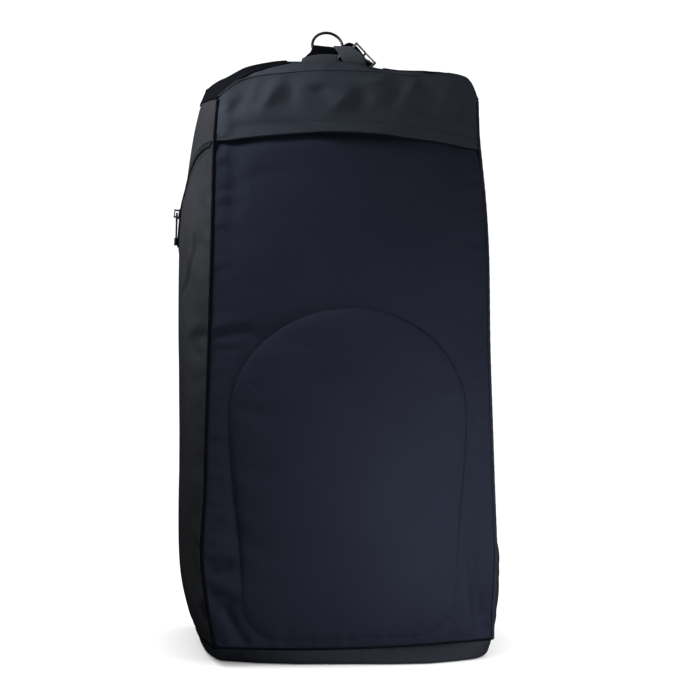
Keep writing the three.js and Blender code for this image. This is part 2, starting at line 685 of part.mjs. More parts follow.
// Keeper: webbing that goes over a hump and down to the right, its width along Y
const STRAP = { near: -33, far: -8, thick: 1.6 };
const STRAP_CLEAR = 1;
const strapRest = (x) => topWall.at(x, STRAP.far).z + STRAP.thick + STRAP_CLEAR;
const strapPath = new THREE.CatmullRomCurve3(
  [
    { x: 7, z: 628 },
    { x: 10, z: 635 },
    { x: 16, z: 638.5 },
    { x: 23, z: 635.5 },
    { x: 30, z: 626.5 },
    { x: 37, z: strapRest(37) + 0.5 },
    { x: 42, z: strapRest(42) },
  ].map(({ x, z }) => new THREE.Vector3(x, 0, z)),
);
const strapSheet = (u, v) => {
  const p = strapPath.getPointAt(1 - u);
  return new THREE.Vector3(p.x, lerp(STRAP.far, STRAP.near, v), p.z);
};
const strapBody = { columns: 16, rows: 2, inner: constant(-STRAP.thick), crowd: 0 };
add("keeper_strap", bentSheet(strapSheet, strapBody), webbing);

// Its tail falls in front of the hump, facing -Y.
const TAIL = { y: -34.5, top: 638, clear: 0.8, bulgeRight: 4, bulgeNear: 2.5 };
const TAIL_FOOT = { left: 10, right: 34 };
const TAIL_HEAD = { left: -1, right: 18 };
const tailSheet = (u, v) => {
  const left = lerp(TAIL_FOOT.left, TAIL_HEAD.left, v);
  const right = lerp(TAIL_FOOT.right, TAIL_HEAD.right, v) + TAIL.bulgeRight * pillow(v);
  const rest = topWall.at(lerp(TAIL_FOOT.left, TAIL_FOOT.right, u), TAIL.y).z + TAIL.clear;
  const y = TAIL.y - TAIL.bulgeNear * pillow(v);
  return new THREE.Vector3(lerp(left, right, u), y, lerp(rest, TAIL.top, v));
};
const tailBody = { columns: 4, rows: 6, crowd: 0, inner: constant(-STRAP.thick) };
add("keeper_tail", bentSheet(tailSheet, tailBody), webbing);

// Slide: a flat metal frame with a middle bar, on the hump's right slope
const SLIDE = { width: 31, length: 31, bar: 2.4, thick: 2 };
const sideBarAt = (SLIDE.width - SLIDE.bar) / 2;
const crossBarAt = (SLIDE.length - SLIDE.bar) / 2;
const slide = joined(
  block(SLIDE.length, SLIDE.bar, SLIDE.thick, 0, -sideBarAt, 0),
  block(SLIDE.length, SLIDE.bar, SLIDE.thick, 0, sideBarAt, 0),
  block(SLIDE.bar, SLIDE.width, SLIDE.thick, -crossBarAt, 0, 0),
  block(SLIDE.bar, SLIDE.width, SLIDE.thick, 0, 0, 0),
  block(SLIDE.bar, SLIDE.width, SLIDE.thick, crossBarAt, 0, 0),
);
const SLIDE_TOP = { x: 23, z: 642 };
const SLIDE_FOOT = { x: 45, z: 620 };
slide.rotateY(Math.atan2(SLIDE_TOP.z - SLIDE_FOOT.z, SLIDE_FOOT.x - SLIDE_TOP.x));
slide.translate(
  (SLIDE_TOP.x + SLIDE_FOOT.x) / 2,
  (STRAP.near + STRAP.far) / 2,
  (SLIDE_TOP.z + SLIDE_FOOT.z) / 2,
);
add("slide_buckle", slide, paleMetal);

// The origin is on the floor, in the middle of the bag's bounds.
const bounds = new THREE.Box3().setFromObject(bag);
const middle = bounds.getCenter(new THREE.Vector3());
for (const { geometry } of bag.children) {
  geometry.translate(-middle.x, -middle.y, -bounds.min.z);
}

export default bag;
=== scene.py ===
# A soft gym bag that stands on end, dressed over its construction model.
# Metres, +Z up, the padded back faces -Y and the floor is z = 0.
import json
import math
from contextlib import contextmanager

import bpy
import numpy as np
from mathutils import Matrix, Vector
from mathutils.bvhtree import BVHTree
from mathutils.kdtree import KDTree

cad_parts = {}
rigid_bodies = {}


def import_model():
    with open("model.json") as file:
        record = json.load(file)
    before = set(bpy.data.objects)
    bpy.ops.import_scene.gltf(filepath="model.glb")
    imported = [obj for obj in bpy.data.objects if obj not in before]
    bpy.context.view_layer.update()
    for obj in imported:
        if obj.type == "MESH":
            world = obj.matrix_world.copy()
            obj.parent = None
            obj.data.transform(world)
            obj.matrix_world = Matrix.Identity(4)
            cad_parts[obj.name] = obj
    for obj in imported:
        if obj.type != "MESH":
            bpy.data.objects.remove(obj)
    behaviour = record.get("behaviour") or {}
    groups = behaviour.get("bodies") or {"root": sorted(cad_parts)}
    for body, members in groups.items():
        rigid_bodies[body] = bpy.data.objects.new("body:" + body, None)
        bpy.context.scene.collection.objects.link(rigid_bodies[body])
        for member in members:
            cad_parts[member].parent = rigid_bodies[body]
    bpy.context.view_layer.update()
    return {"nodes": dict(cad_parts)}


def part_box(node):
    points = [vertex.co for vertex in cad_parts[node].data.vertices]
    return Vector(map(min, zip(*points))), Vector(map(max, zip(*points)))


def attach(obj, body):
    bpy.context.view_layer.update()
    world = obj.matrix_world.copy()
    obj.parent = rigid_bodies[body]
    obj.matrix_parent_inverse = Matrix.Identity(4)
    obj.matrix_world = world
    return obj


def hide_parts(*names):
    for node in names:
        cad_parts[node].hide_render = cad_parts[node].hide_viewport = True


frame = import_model()

# Camera: level with the middle of the bag and a little left of square on to its padded back,
# at a distance from which the bag nearly fills the height of a square picture.
EYE = (-0.2721, -1.7252, 0.314)
EYE_TURN = math.radians(-9.73)
EYE_FIELD = math.radians(24.5)

bpy.ops.object.select_all(action="DESELECT")
bpy.ops.object.camera_add(location=EYE, rotation=(math.radians(90), 0, EYE_TURN))
camera = bpy.context.object
camera.data.angle = EYE_FIELD
bpy.context.scene.camera = camera

# Studio: a white floor and a glowing white backdrop in a dim room. The floor glows too, dimmed by a painted
# shadow where the bag stands close over it, and fading out in front of the bag. A small soft lamp grazes the
# bag from the upper left, and two fill it in from the front, one high and one low on the right.
FLOOR_SIZE = 60
BACKDROP_AT = 4
WHITE_GLOW = 1.03
PAINTED_CONTACT_SHADOW = {"reach": 0.1, "glow": 0.1, "samples": 16}
FLOOR_FRONT = {"dark_from": -0.8, "white_from": -0.42}
FLOOR_BACK = {"shaded_to": 1, "white_from": 2}
FLOOR_GREY = (0.15, 0.15, 0.15, 1)
ROOM_GREY = 0.12
LAMPS = [
    ("upper_left", (-0.46, -0.196, 0.8), (-0.12, -0.06, 0.5), 0.2, 6.4, 85),
    ("upper_front", (0.5, -0.8, 0.95), (0.05, -0.14, 0.5), 0.4, 11.5, 180),
    ("low_right", (0.2, -0.5, 0.14), (0.08, -0.16, 0.12), 0.18, 7.6, 180),
]

bpy.context.scene.view_settings.view_transform = "Standard"
room = bpy.data.worlds.new("studio_room")
room.use_nodes = True
room.node_tree.nodes["Background"].inputs["Strength"].default_value = ROOM_GREY
room.node_tree.nodes["Background"].inputs["Color"].default_value = (1, 1, 1, 1)
bpy.context.scene.world = room


def feed(tree, node, inputs):
    """Sets a node's inputs, each to a constant or from another node's output."""
    for socket, value in inputs.items():
        if isinstance(value, bpy.types.NodeSocket):
            tree.links.new(value, node.inputs[socket])
        else:
            node.inputs[socket].default_value = value


def add_node(tree, kind, inputs, **settings):
    node = tree.nodes.new("ShaderNode" + kind)
    for key, value in settings.items():
        setattr(node, key, value)
    feed(tree, node, inputs)
    return node


def surface_of(tree, inputs):
    """Sets inputs of the one shader in a material's nodes."""
    feed(tree, tree.nodes["Principled BSDF"], inputs)


def new_material(name, inputs):
    material = bpy.data.materials.new(name)
    material.use_nodes = True
    surface_of(material.node_tree, inputs)
    return material, material.node_tree


def white_board(name, location, rotation):
    """A large board that shines white, and isn't part of the bag."""
    bpy.ops.mesh.primitive_plane_add(size=FLOOR_SIZE, location=location, rotation=rotation)
    board = bpy.context.object
    board.name = name
    paint, tree = new_material(name, {
        "Base Color": FLOOR_GREY,
        "Roughness": 0.9,
        "Specular IOR Level": 0,
        "Emission Color": (1, 1, 1, 1),
        "Emission Strength": WHITE_GLOW,
    })
    board.data.materials.append(paint)
    return tree


def ramp(tree, value, **ends):
    """Maps a value from one range to another; ranges that aren't given go from 0 to 1."""
    inputs = {key.replace("_", " ").title(): end for key, end in ends.items()}
    return add_node(tree, "MapRange", {"Value": value, **inputs}).outputs["Result"]


def maths(tree, operation, *values):
    return add_node(tree, "Math", dict(enumerate(values)), operation=operation).outputs["Value"]


def solid_spot(tree):
    """Where in the piece itself a spot of its surface is."""
    return add_node(tree, "TexCoord", {}).outputs["Object"]


white_board("studio_backdrop", (0, BACKDROP_AT, 0), (math.radians(90), 0, 0))
floor_tree = white_board("studio_floor", (0, 0, 0), (0, 0, 0))
# The floor's glow drops where an ambient occlusion node finds the bag close by: a painted shadow around the
# bag's foot.
depth = add_node(floor_tree, "SeparateXYZ", {"Vector": solid_spot(floor_tree)}).outputs["Y"]
painted_contact_shadow = add_node(floor_tree, "AmbientOcclusion", {"Distance": PAINTED_CONTACT_SHADOW["reach"]}, samples=PAINTED_CONTACT_SHADOW["samples"])
glow = ramp(floor_tree, painted_contact_shadow.outputs["AO"], to_min=PAINTED_CONTACT_SHADOW["glow"], to_max=WHITE_GLOW)
front = ramp(floor_tree, depth, from_min=FLOOR_FRONT["dark_from"], from_max=FLOOR_FRONT["white_from"])
far_ends = {"from_min": FLOOR_BACK["shaded_to"], "from_max": FLOOR_BACK["white_from"]}
far_off = ramp(floor_tree, depth, **far_ends, to_max=WHITE_GLOW)
brighter = maths(floor_tree, "MAXIMUM", glow, far_off)
surface_of(floor_tree, {"Emission Strength": maths(floor_tree, "MULTIPLY", brighter, front)})

for name, at, aim, size, watts, spread in LAMPS:
    toward = Vector(aim) - Vector(at)
    turn = toward.to_track_quat("-Z", "Y").to_euler()
    bpy.ops.object.light_add(type="AREA", location=at, rotation=turn)
    bpy.context.object.name = "lamp_" + name
    bpy.context.object.data.size = size
    bpy.context.object.data.energy = watts
    bpy.context.object.data.spread = math.radians(spread)


# Back cloth: one panel of navy woven polyester, sewn into the piping at both sides and the base.
# It runs up out of sight under the flap. Stuffing fills it out, and the sewing puckers its edges.
NEAR = Vector((0, -1, 0))
CLOTH = 0.0016
QUAD_FOLD = math.radians(60)
RIM_TURN = math.radians(50)
WELD = 1e-5


def active_only(piece):
    bpy.ops.object.select_all(action="DESELECT")
    piece.select_set(True)
    bpy.context.view_layer.objects.active = piece


def vertex_values(piece, kind):
    values = np.empty(len(piece.data.vertices) * 3)
    piece.data.vertices.foreach_get(kind, values)
    return values.reshape(-1, 3)


def places(piece):
    return vertex_values(piece, "co")


def facings(piece):
    return vertex_values(piece, "normal")


def put(piece, co):
    piece.data.vertices.foreach_set("co", np.ascontiguousarray(co).ravel())
    piece.data.update()


def raise_by(piece, heights):
    """Moves each vertex out of the cloth by its own height."""
    put(piece, places(piece) + facings(piece) * heights[:, None])


def finish_with(piece, kind, **settings):
    """Adds a modifier and applies it."""
    modifier = piece.modifiers.new(kind.title(), kind)
    for key, value in settings.items():
        setattr(modifier, key, value)
    active_only(piece)
    bpy.ops.object.modifier_apply(modifier=modifier.name)


def refine(piece, levels):
    corners = "PRESERVE_CORNERS"
    finish_with(piece, "SUBSURF", levels=levels, render_levels=levels, boundary_smooth=corners)


@contextmanager
def editing(piece, select=True):
    """Edit mode on a piece, with all of it selected unless that is to stay as it was."""
    active_only(piece)
    bpy.ops.object.mode_set(mode="EDIT")
    if select:
        bpy.ops.mesh.select_all(action="SELECT")
    yield
    bpy.ops.object.mode_set(mode="OBJECT")


def new_piece(name, data):
    piece = bpy.data.objects.new(name, data)
    bpy.context.collection.objects.link(piece)
    active_only(piece)
    return piece


def merged_copy(node, name):
    """A new piece with the shape of one solid of the construction model, its facets merged."""
    piece = new_piece(name, frame["nodes"][node].data.copy())
    piece.data.materials.clear()
    bpy.ops.mesh.customdata_custom_splitnormals_clear()
    with editing(piece):
        bpy.ops.mesh.remove_doubles(threshold=WELD)
        bpy.ops.mesh.tris_convert_to_quads(face_threshold=QUAD_FOLD, shape_threshold=QUAD_FOLD)
    return piece


FULLER = [
    (0.11, None, 0.586, 0.008, 0.005, 0.019),
    (-0.126, None, 0.58, 0.002, 0.002, 0.016),
    (-0.082, None, 0.615, 0, -0.0045, 0.028),
    (0.07, None, 0.612, 0, -0.005, 0.026),
    (0.15, None, 0.02, 0.006, 0, 0.02),
    (0.14, -0.16, 0.06, -0.009, 0, 0.034),
    (0.165, -0.105, 0.07, 0.011, 0, 0.036),
    (-0.148, -0.155, 0.12, -0.005, 0, 0.02),
    (-0.148, -0.155, 0.072, -0.003, 0, 0.013),
]


def fuller(co):
    """Cloth fills out in places, slumps a little at the top and is drawn in along one lower seam.

    A row gives a place, at one depth or at any, how far right and up it moves, and its reach."""
    moved = co.copy()
    for x, y, z, right, up, reach in FULLER:
        away = (co[:, 0] - x) ** 2 + (co[:, 2] - z) ** 2
        if y is not None:
            away += (co[:, 1] - y) ** 2
        share = np.exp(-away / (2 * reach**2))
        moved[:, 0] += right * share
        moved[:, 2] += up * share
    return moved


def outer_skin(node, name, facing):
    """The outer side alone of a sheet in the construction model, in clean quads."""
    piece = merged_copy(node, name)
    with editing(piece):
        bpy.ops.mesh.select_mode(type="EDGE")
        bpy.ops.mesh.select_all(action="DESELECT")
        bpy.ops.mesh.edges_select_sharp(sharpness=RIM_TURN)
        bpy.ops.mesh.mark_seam(clear=False)
        bpy.ops.mesh.select_mode(type="FACE")
        bpy.ops.mesh.select_all(action="DESELECT")
    outermost = max(piece.data.polygons, key=lambda p: p.center @ facing + 1e-3 * (p.normal @ facing))
    outermost.select = True
    with editing(piece, select=False):
        bpy.ops.mesh.select_linked(delimit={"SEAM"})
        bpy.ops.mesh.select_all(action="INVERT")
        bpy.ops.mesh.delete(type="FACE")
        bpy.ops.mesh.select_mode(type="EDGE")
        bpy.ops.mesh.select_all(action="SELECT")
        bpy.ops.mesh.mark_seam(clear=True)
    put(piece, fuller(places(piece)))
    return piece


def rim_walk(mesh):
    """The vertices along a sheet's border, in order."""
    uses = {}
    for polygon in mesh.polygons:
        for key in polygon.edge_keys:
            uses[key] = uses.get(key, 0) + 1
    onward = {}
    for (a, b), count in uses.items():
        if count == 1:
            onward.setdefault(a, []).append(b)
            onward.setdefault(b, []).append(a)
    walk = [min(onward)]
    before = None
    while True:
        following = [v for v in onward[walk[-1]] if v != before]
        before = walk[-1]
        if following[0] == walk[0]:
            return np.array(walk)
        walk.append(following[0])


def unit(vectors):
    return vectors / np.linalg.norm(vectors, axis=1)[:, None]


def tree_of(points):
    """A tree to find the nearest of some points, which have two or three coordinates."""
    tree = KDTree(len(points))
    for i, point in enumerate(points):
        tree.insert((*point, 0)[:3], i)
    tree.balance()
    return tree


def near_rim(piece):
    """For each vertex: how far the border is, how far along it that is, and which way is outward."""
    walk = rim_walk(piece.data)
    co = places(piece)
    rim = co[walk]
    step = np.linalg.norm(np.roll(rim, -1, axis=0) - rim, axis=1)
    along = np.concatenate([[0], np.cumsum(step)[:-1]])
    out = unit(np.cross(np.roll(rim, -1, axis=0) - np.roll(rim, 1, axis=0), facings(piece)[walk]))
    if ((rim - co.mean(axis=0)) * out).sum() < 0:
        out = -out
    tree = tree_of(rim)
    found = [tree.find(point) for point in co]
    nearest = np.array([f[1] for f in found])
    return np.array([f[2] for f in found]), along[nearest], out[nearest]


def unevenly(along, pitch, phase):
    """A wave of about that pitch that never quite repeats, from -1 to 1."""
    turn = 2 * math.pi * along / pitch + phase
    return (np.sin(turn) + 0.7 * np.sin(1.618 * turn + 1.3) + 0.5 * np.sin(0.618 * turn + 4.1)) / 2.2


SETTLE_FRAMES = 20


def settle(piece, held, pressure, growth, cap):
    """Lets filled cloth find its own form: it is a little larger than its frame, and pushed outward."""
    before = places(piece)
    sewn = piece.vertex_groups.new(name="sewn")
    sewn.add([int(i) for i in np.flatnonzero(held)], 1.0, "REPLACE")
    cloth = piece.modifiers.new("Settle", "CLOTH")
    cloth.settings.vertex_group_mass = "sewn"
    cloth.settings.quality = 6
    cloth.settings.tension_stiffness = 30
    cloth.settings.compression_stiffness = 30
    cloth.settings.shear_stiffness = 15
    cloth.settings.bending_stiffness = 1.5
    cloth.settings.shrink_min = -growth
    cloth.settings.use_pressure = True
    cloth.settings.uniform_pressure_force = pressure
    cloth.settings.effector_weights.gravity = 0
    cloth.collision_settings.use_collision = False
    for number in range(1, SETTLE_FRAMES + 1):
        bpy.context.scene.frame_set(number)
    active_only(piece)
    bpy.ops.object.modifier_apply(modifier="Settle")
    bpy.context.scene.frame_set(1)
    moved = places(piece) - before
    reach = np.linalg.norm(moved, axis=1)
    put(piece, before + moved * np.minimum(1, cap / np.maximum(reach, 1e-9))[:, None])
    piece.vertex_groups.clear()


RIDGE = {"off": 1.7, "width": 1.2, "height": 0.55}
PUCKER_FROM = 0.004
ROLL_REACH = 0.009


def bell(off):
    """1 in the middle of a groove or a rise, and less and less away from it."""
    return np.exp(-(off**2))


def beside(across, height, middle, level, tilt):
    """How far each spot is along a tilted line through a middle, and how far off it, in millimetres."""
    turn = math.radians(tilt)
    a = across * 1000 - middle
    b = height * 1000 - level
    return a * math.cos(turn) + b * math.sin(turn), b * math.cos(turn) - a * math.sin(turn)


def fold_heights(across, height, folds):
    """Creases: a valley with a softer ridge on one side of it, each in a row of a table.

    A row gives its middle across and up, tilt in degrees, length, width, depth and bow, in millimetres."""
    total = np.zeros(len(across))
    for middle, level, tilt, length, width, depth, bow in folds:
        along, off = beside(across, height, middle, level, tilt)
        off = off + bow * (along / length) ** 2
        ridge = bell((off - RIDGE["off"] * width) / (RIDGE["width"] * width))
        total += depth * (RIDGE["height"] * ridge - bell(off / width)) * bell((along / length) ** 2)
    return total / 1000


def roll_edges(piece, out_by, down_by, reach):
    """Turns the sewn border of a panel down into its seam, under the piping."""
    distance, _, out = near_rim(piece)
    share = np.clip(1 - distance / reach, 0, 1)
    shift = out * (out_by * share)[:, None] - facings(piece) * (down_by * share**2)[:, None]
    put(piece, places(piece) + shift)


def pucker(piece, depth, reach, pitch, phase):
    """Small gathers square to the seam, where the sewing draws the cloth in."""
    distance, along, _ = near_rim(piece)
    fade = bell(distance / reach) * np.clip(distance / PUCKER_FROM, 0, 1)
    raise_by(piece, depth * fade * unevenly(along, pitch, phase))


def lay_weave(piece, axes, flat=None):
    """A map in metres of the cloth's own plane, along which its threads run."""
    if flat is None:
        flat = places(piece)[:, axes]
    weave = piece.data.uv_layers.new(name="weave")
    corners = np.empty(len(piece.data.loops), dtype=np.int32)
    piece.data.loops.foreach_get("vertex_index", corners)
    weave.data.foreach_set("uv", flat[corners].ravel())


def thicken(piece, thickness):
    finish_with(piece, "SOLIDIFY", thickness=thickness, offset=-1)
    bpy.ops.object.shade_smooth()


def noise(tree, spot, scale, detail=2):
    inputs = {"Vector": spot, "Scale": scale, "Detail": detail}
    return add_node(tree, "TexNoise", inputs).outputs["Fac"]


def mixed(tree, share, first, second):
    """A colour between two, as the base colour of the shader."""
    inputs = {"Factor": share, "A": (*first, 1), "B": (*second, 1)}
    mix = add_node(tree, "Mix", inputs, data_type="RGBA")
    surface_of(tree, {"Base Color": mix.outputs["Result"]})


def bumped(tree, height, distance):
    bump = add_node(tree, "Bump", {"Strength": 0.5, "Distance": distance, "Height": height})
    surface_of(tree, {"Normal": bump.outputs["Normal"]})


SLUBS = (900, 45, 1)
THREAD_SHARE = 0.6
ROUGH_SPREAD = 0.08


def woven(name, colour, pitch, roughness, dust, relief=0.00025):
    """Plain-woven cloth: crossing threads, slubs along them and a little dust in patches."""
    material, tree = new_material(name, {"Specular IOR Level": 0})
    flat = add_node(tree, "UVMap", {}, uv_map="weave").outputs["UV"]
    scaled = add_node(tree, "VectorMath", {"Vector": flat, "Scale": 2 * math.pi / pitch}, operation="SCALE")
    threads = add_node(tree, "VectorMath", {"Vector": scaled.outputs["Vector"]}, operation="SINE")
    axes = add_node(tree, "SeparateXYZ", {"Vector": threads.outputs["Vector"]})
    crossing = maths(tree, "MULTIPLY", axes.outputs["X"], axes.outputs["Y"])
    stretched = add_node(tree, "Mapping", {"Vector": flat, "Scale": SLUBS})
    slubs = noise(tree, stretched.outputs["Vector"], scale=1, detail=3)
    patches = noise(tree, solid_spot(tree), scale=9, detail=5)
    mixed(tree, maths(tree, "MULTIPLY", patches, slubs), colour, dust)
    rough = ramp(tree, slubs, to_min=roughness - ROUGH_SPREAD, to_max=roughness + ROUGH_SPREAD)
    surface_of(tree, {"Roughness": rough})
    bumped(tree, maths(tree, "MULTIPLY_ADD", crossing, THREAD_SHARE, slubs), relief)
    return material


def dress(piece, material, slot, *nodes, body="bag"):
    """Gives a finished piece its material and its body, and hides the solids that it stands for; the slot is
    not used.
    """
    piece.data.materials.append(material)
    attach(piece, body)
    if nodes:
        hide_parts(*nodes)


def distance_to(points, line):
    """How far each point is from the nearest of a line's points."""
    tree = tree_of(line)
    return np.array([tree.find((*point, 0)[:3])[2] for point in points])


SEAM_SIDES = 6
SEAM_STEP = 0.0022
SEAM_REACH = 0.01
SEAM_CATCH = 0.015
SEAM_FADE = 0.005
SEAM_EASE = 1.5
CORNER_REACH = 0.005
SEAM_FLUSH = {"piping_near_top": (0, -0.0012, 0.0012)}


def seam_line(node):
    """The middle of each ring of a seam's cord in the construction model, in order; some lie flush."""
    points = np.unique(places(frame["nodes"][node]).round(6), axis=0)
    along = np.ptp(points, axis=0).argmax()
    rings = points[np.argsort(points[:, along])].reshape(-1, SEAM_SIDES, 3)
    return fuller(rings.mean(axis=1)) + np.array(SEAM_FLUSH.get(node, (0, 0, 0)))


def between(first, second, start, end, t):
    """The point at t on the way from one point, at start, to another, at end."""
    return ((end - t) * first + (t - start) * second) / (end - start)


def smooth_line(points, step):
    """A smooth line through points, with its own points about a step apart."""
    points = np.asarray(points, float)
    points = np.concatenate([2 * points[:1] - points[1:2], points, 2 * points[-1:] - points[-2:-1]])
    knots = np.concatenate([[0], np.cumsum(np.linalg.norm(np.diff(points, axis=0), axis=1) ** 0.5)])
    line = []
    for i in range(1, len(points) - 2):
        p, k = points[i - 1 : i + 3], knots[i - 1 : i + 3]
        count = max(1, round(np.linalg.norm(p[2] - p[1]) / step))
        for t in k[1] + (k[2] - k[1]) * np.arange(count) / count:
            a = [between(p[j], p[j + 1], k[j], k[j + 1], t) for j in range(3)]
            b = [between(a[j], a[j + 1], k[j], k[j + 2], t) for j in range(2)]
            line.append(between(b[0], b[1], k[1], k[2], t))
    line.append(points[-2])
    return np.array(line)


def tuck(piece, line, reach):
    """Brings the border of a sheet on to the seam beside it, and the cloth near it along."""
    co = places(piece)
    rim = co[rim_walk(piece.data)]
    seam = tree_of(line)
    pulls = []
    for spot in rim:
        near, _, away = seam.find(spot)
        pulls.append((np.array(near) - spot) * np.clip((SEAM_CATCH - away) / SEAM_FADE, 0, 1))
    border = tree_of(rim)
    found = [border.find(spot) for spot in co]
    share = np.clip(1 - np.array([f[2] for f in found]) / reach, 0, 1) ** SEAM_EASE
    put(piece, co + np.array(pulls)[[f[1] for f in found]] * share[:, None])


def into_corners(line, reach):
    """Lengthens a line at both ends, so that it runs into the corners."""
    first = line[0] + (line[0] - line[1]) / np.linalg.norm(line[0] - line[1]) * reach
    last = line[-1] + (line[-1] - line[-2]) / np.linalg.norm(line[-1] - line[-2]) * reach
    return np.concatenate([[first], line, [last]])


def sew_to(piece, *nodes):
    """Draws the border of a panel in to the seams that it is caught in."""
    lines = [smooth_line(into_corners(seam_line(node), CORNER_REACH), SEAM_STEP) for node in nodes]
    tuck(piece, np.concatenate(lines), SEAM_REACH)


PAD_INSET = 0.0005
PAD_LOW, PAD_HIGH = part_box("back_pad")
PAD_MIDDLE = (PAD_LOW.x + PAD_HIGH.x) / 2
PAD_HALF = (PAD_HIGH.x - PAD_LOW.x) / 2 - PAD_INSET
PAD_FOOT_HALF = 0.108
PAD_SPRING = 0.249
PAD_CORNER = 0.04
PAD_STEPS = {"arch": 88, "side": 46, "corner": 12, "foot": 36}


def pad_outline():
    """The pad's sewn edge in x and z: an arch, sides that draw in, round corners and a level foot."""
    right = []
    turns = np.linspace(math.pi / 2, 0, PAD_STEPS["arch"] // 2, endpoint=False)
    for turn in turns:
        z = PAD_SPRING + (PAD_HIGH.z - PAD_SPRING) * math.sin(turn)
        right.append((PAD_HALF * math.cos(turn), z))
    corner_top = PAD_LOW.z + PAD_CORNER
    for drop in np.linspace(0, 1, PAD_STEPS["side"], endpoint=False):
        half = PAD_HALF + (PAD_FOOT_HALF - PAD_HALF) * drop * drop * (3 - 2 * drop)
        right.append((half, PAD_SPRING + (corner_top - PAD_SPRING) * drop))
    for turn in np.linspace(0, math.pi / 2, PAD_STEPS["corner"], endpoint=False):
        x = PAD_FOOT_HALF - PAD_CORNER * (1 - math.cos(turn))
        right.append((x, corner_top - PAD_CORNER * math.sin(turn)))
    for x in np.linspace(PAD_FOOT_HALF - PAD_CORNER, 0, PAD_STEPS["foot"] // 2, endpoint=False):
        right.append((x, PAD_LOW.z))
    left = [(-x, z) for x, z in right[1:]]
    whole = right + [(0, PAD_LOW.z)] + left[::-1]
    return np.array([(PAD_MIDDLE + x, z) for x, z in whole])


WEAVE_PITCH = 0.0011
navy_cloth = woven("navy_cloth", (0.0031, 0.0036, 0.006), WEAVE_PITCH, 0.78, (0.0056, 0.0064, 0.0096))
BACK_FOLDS = [
    (-118, 330, 10, 22, 6, 2.2, 0),
    (-122, 315, 4, 18, 5, 1.8, 0),
    (-116, 480, 88, 70, 9, 1.6, 0),
    (-132, 102, 8, 15, 7, 4.2, 0),
    (-130, 69, -6, 16, 7, 4.2, 0),
    (-116, 40, 118, 24, 6, 3.6, 0),
    (128, 80, 98, 70, 7, 4, 0),
]
QUILT_GROOVE = {"depth": 0.0018, "width": 0.006}
QUILT_LOOSE = {"below": 0.04, "above": 0.17, "least": 0.2}


def firmness(height):
    """How firmly the quilting is drawn in at a height: hardly at the foot, fully further up."""
    share = np.clip((height - QUILT_LOOSE["below"]) / (QUILT_LOOSE["above"] - QUILT_LOOSE["below"]), 0, 1)
    return QUILT_LOOSE["least"] + (1 - QUILT_LOOSE["least"]) * share * share * (3 - 2 * share)


def skin_of(piece):
    """The outside of a piece as it is now, to lay other pieces on."""
    return BVHTree.FromObject(piece, bpy.context.evaluated_depsgraph_get())


SEWN_RIM = 0.006
GATHER = 0.0011


def filled(wall, facing, axes, folds, pressure, growth, cap, pitch, phase, reach=0.017):
    """A panel's outer side, filled out, creased and puckered, and its places before it was creased."""
    cloth = outer_skin(wall + "_panel", wall + "_cloth", facing)
    refine(cloth, 2)
    settle(cloth, near_rim(cloth)[0] < SEWN_RIM, pressure, growth, cap)
    refine(cloth, 1)
    spots = places(cloth)
    raise_by(cloth, fold_heights(spots[:, axes[0]], spots[:, axes[1]], folds))
    pucker(cloth, GATHER, reach, pitch, phase)
    return cloth, spots


def sewn_in(cloth, axes, seams, down_by=0.0034):
    """Turns a panel's border into its seams, lays the weave and makes it thick.

    Returns its outside, and its mesh as it was before it was thick."""
    roll_edges(cloth, out_by=0.0026, down_by=down_by, reach=ROLL_REACH)
    sew_to(cloth, *seams)
    lay_weave(cloth, axes)
    outside = skin_of(cloth)
    bare = cloth.data.copy()
    thicken(cloth, CLOTH)
    return outside, bare


back_cloth, spots = filled(
    "back", NEAR, [0, 2], BACK_FOLDS, pressure=1.5, growth=0.003, cap=0.003, pitch=0.021, phase=0.4
)
PAD_EDGE = pad_outline()
groove = bell(distance_to(spots[:, [0, 2]], PAD_EDGE) / QUILT_GROOVE["width"])
raise_by(back_cloth, -QUILT_GROOVE["depth"] * groove * firmness(spots[:, 2]))
back_seams = ["piping_near_left", "piping_near_base", "piping_near_right"]
back_surface, _ = sewn_in(back_cloth, [0, 2], back_seams)
dress(back_cloth, navy_cloth, "navy_cloth", "back_panel")


# Back pad: an arch of foam under the same navy cloth, quilted to the back along its outline.
# The sewing leaves a narrow groove all round, and the foam swells up inside it.
PAD_RINGS = [0.0014, 0.0018, 0.0024, 0.0034, 0.005]
PAD_SWELL = {"edge": 0.0052, "edge_reach": 0.003, "crown": 0.0026, "crown_reach": 0.05}
PAD_SUNK = {"depth": 0.0004, "reach": 0.002}
PAD_HELD = 0.004
GRID_TURN = 28
DROP_FROM = 0.2

bpy.ops.object.select_all(action="DESELECT")
bpy.ops.mesh.primitive_circle_add(vertices=len(PAD_EDGE), fill_type="NOTHING")
back_pad = bpy.context.object
back_pad.name = "back_pad_quilted"
pad_ring = np.column_stack([PAD_EDGE[:, 0], np.full(len(PAD_EDGE), PAD_LOW.y), PAD_EDGE[:, 1]])
put(back_pad, pad_ring)
with editing(back_pad):
    bpy.ops.mesh.edge_face_add()
    for ring in PAD_RINGS:
        bpy.ops.mesh.inset(thickness=ring)
inmost = set(max(back_pad.data.polygons, key=lambda p: len(p.vertices)).edge_keys)
with editing(back_pad, select=False):
    bpy.ops.mesh.delete(type="ONLY_FACE")
    bpy.ops.mesh.select_mode(type="EDGE")
    bpy.ops.mesh.select_all(action="DESELECT")
for edge in back_pad.data.edges:
    edge.select = tuple(edge.key) in inmost
with editing(back_pad, select=False):
    bpy.ops.mesh.fill_grid(span=len(PAD_EDGE) // 4, offset=GRID_TURN)
    bpy.ops.mesh.select_mode(type="VERT")
    bpy.ops.mesh.select_less()
    bpy.ops.mesh.vertices_smooth(factor=0.5, repeat=20)


def face_toward(piece, facing):
    """Turns a sheet's faces over if they look the other way."""
    with editing(piece):
        bpy.ops.mesh.normals_make_consistent(inside=False)
    if (facings(piece) @ np.array(facing)).mean() < 0:
        with editing(piece):
            bpy.ops.mesh.flip_normals()


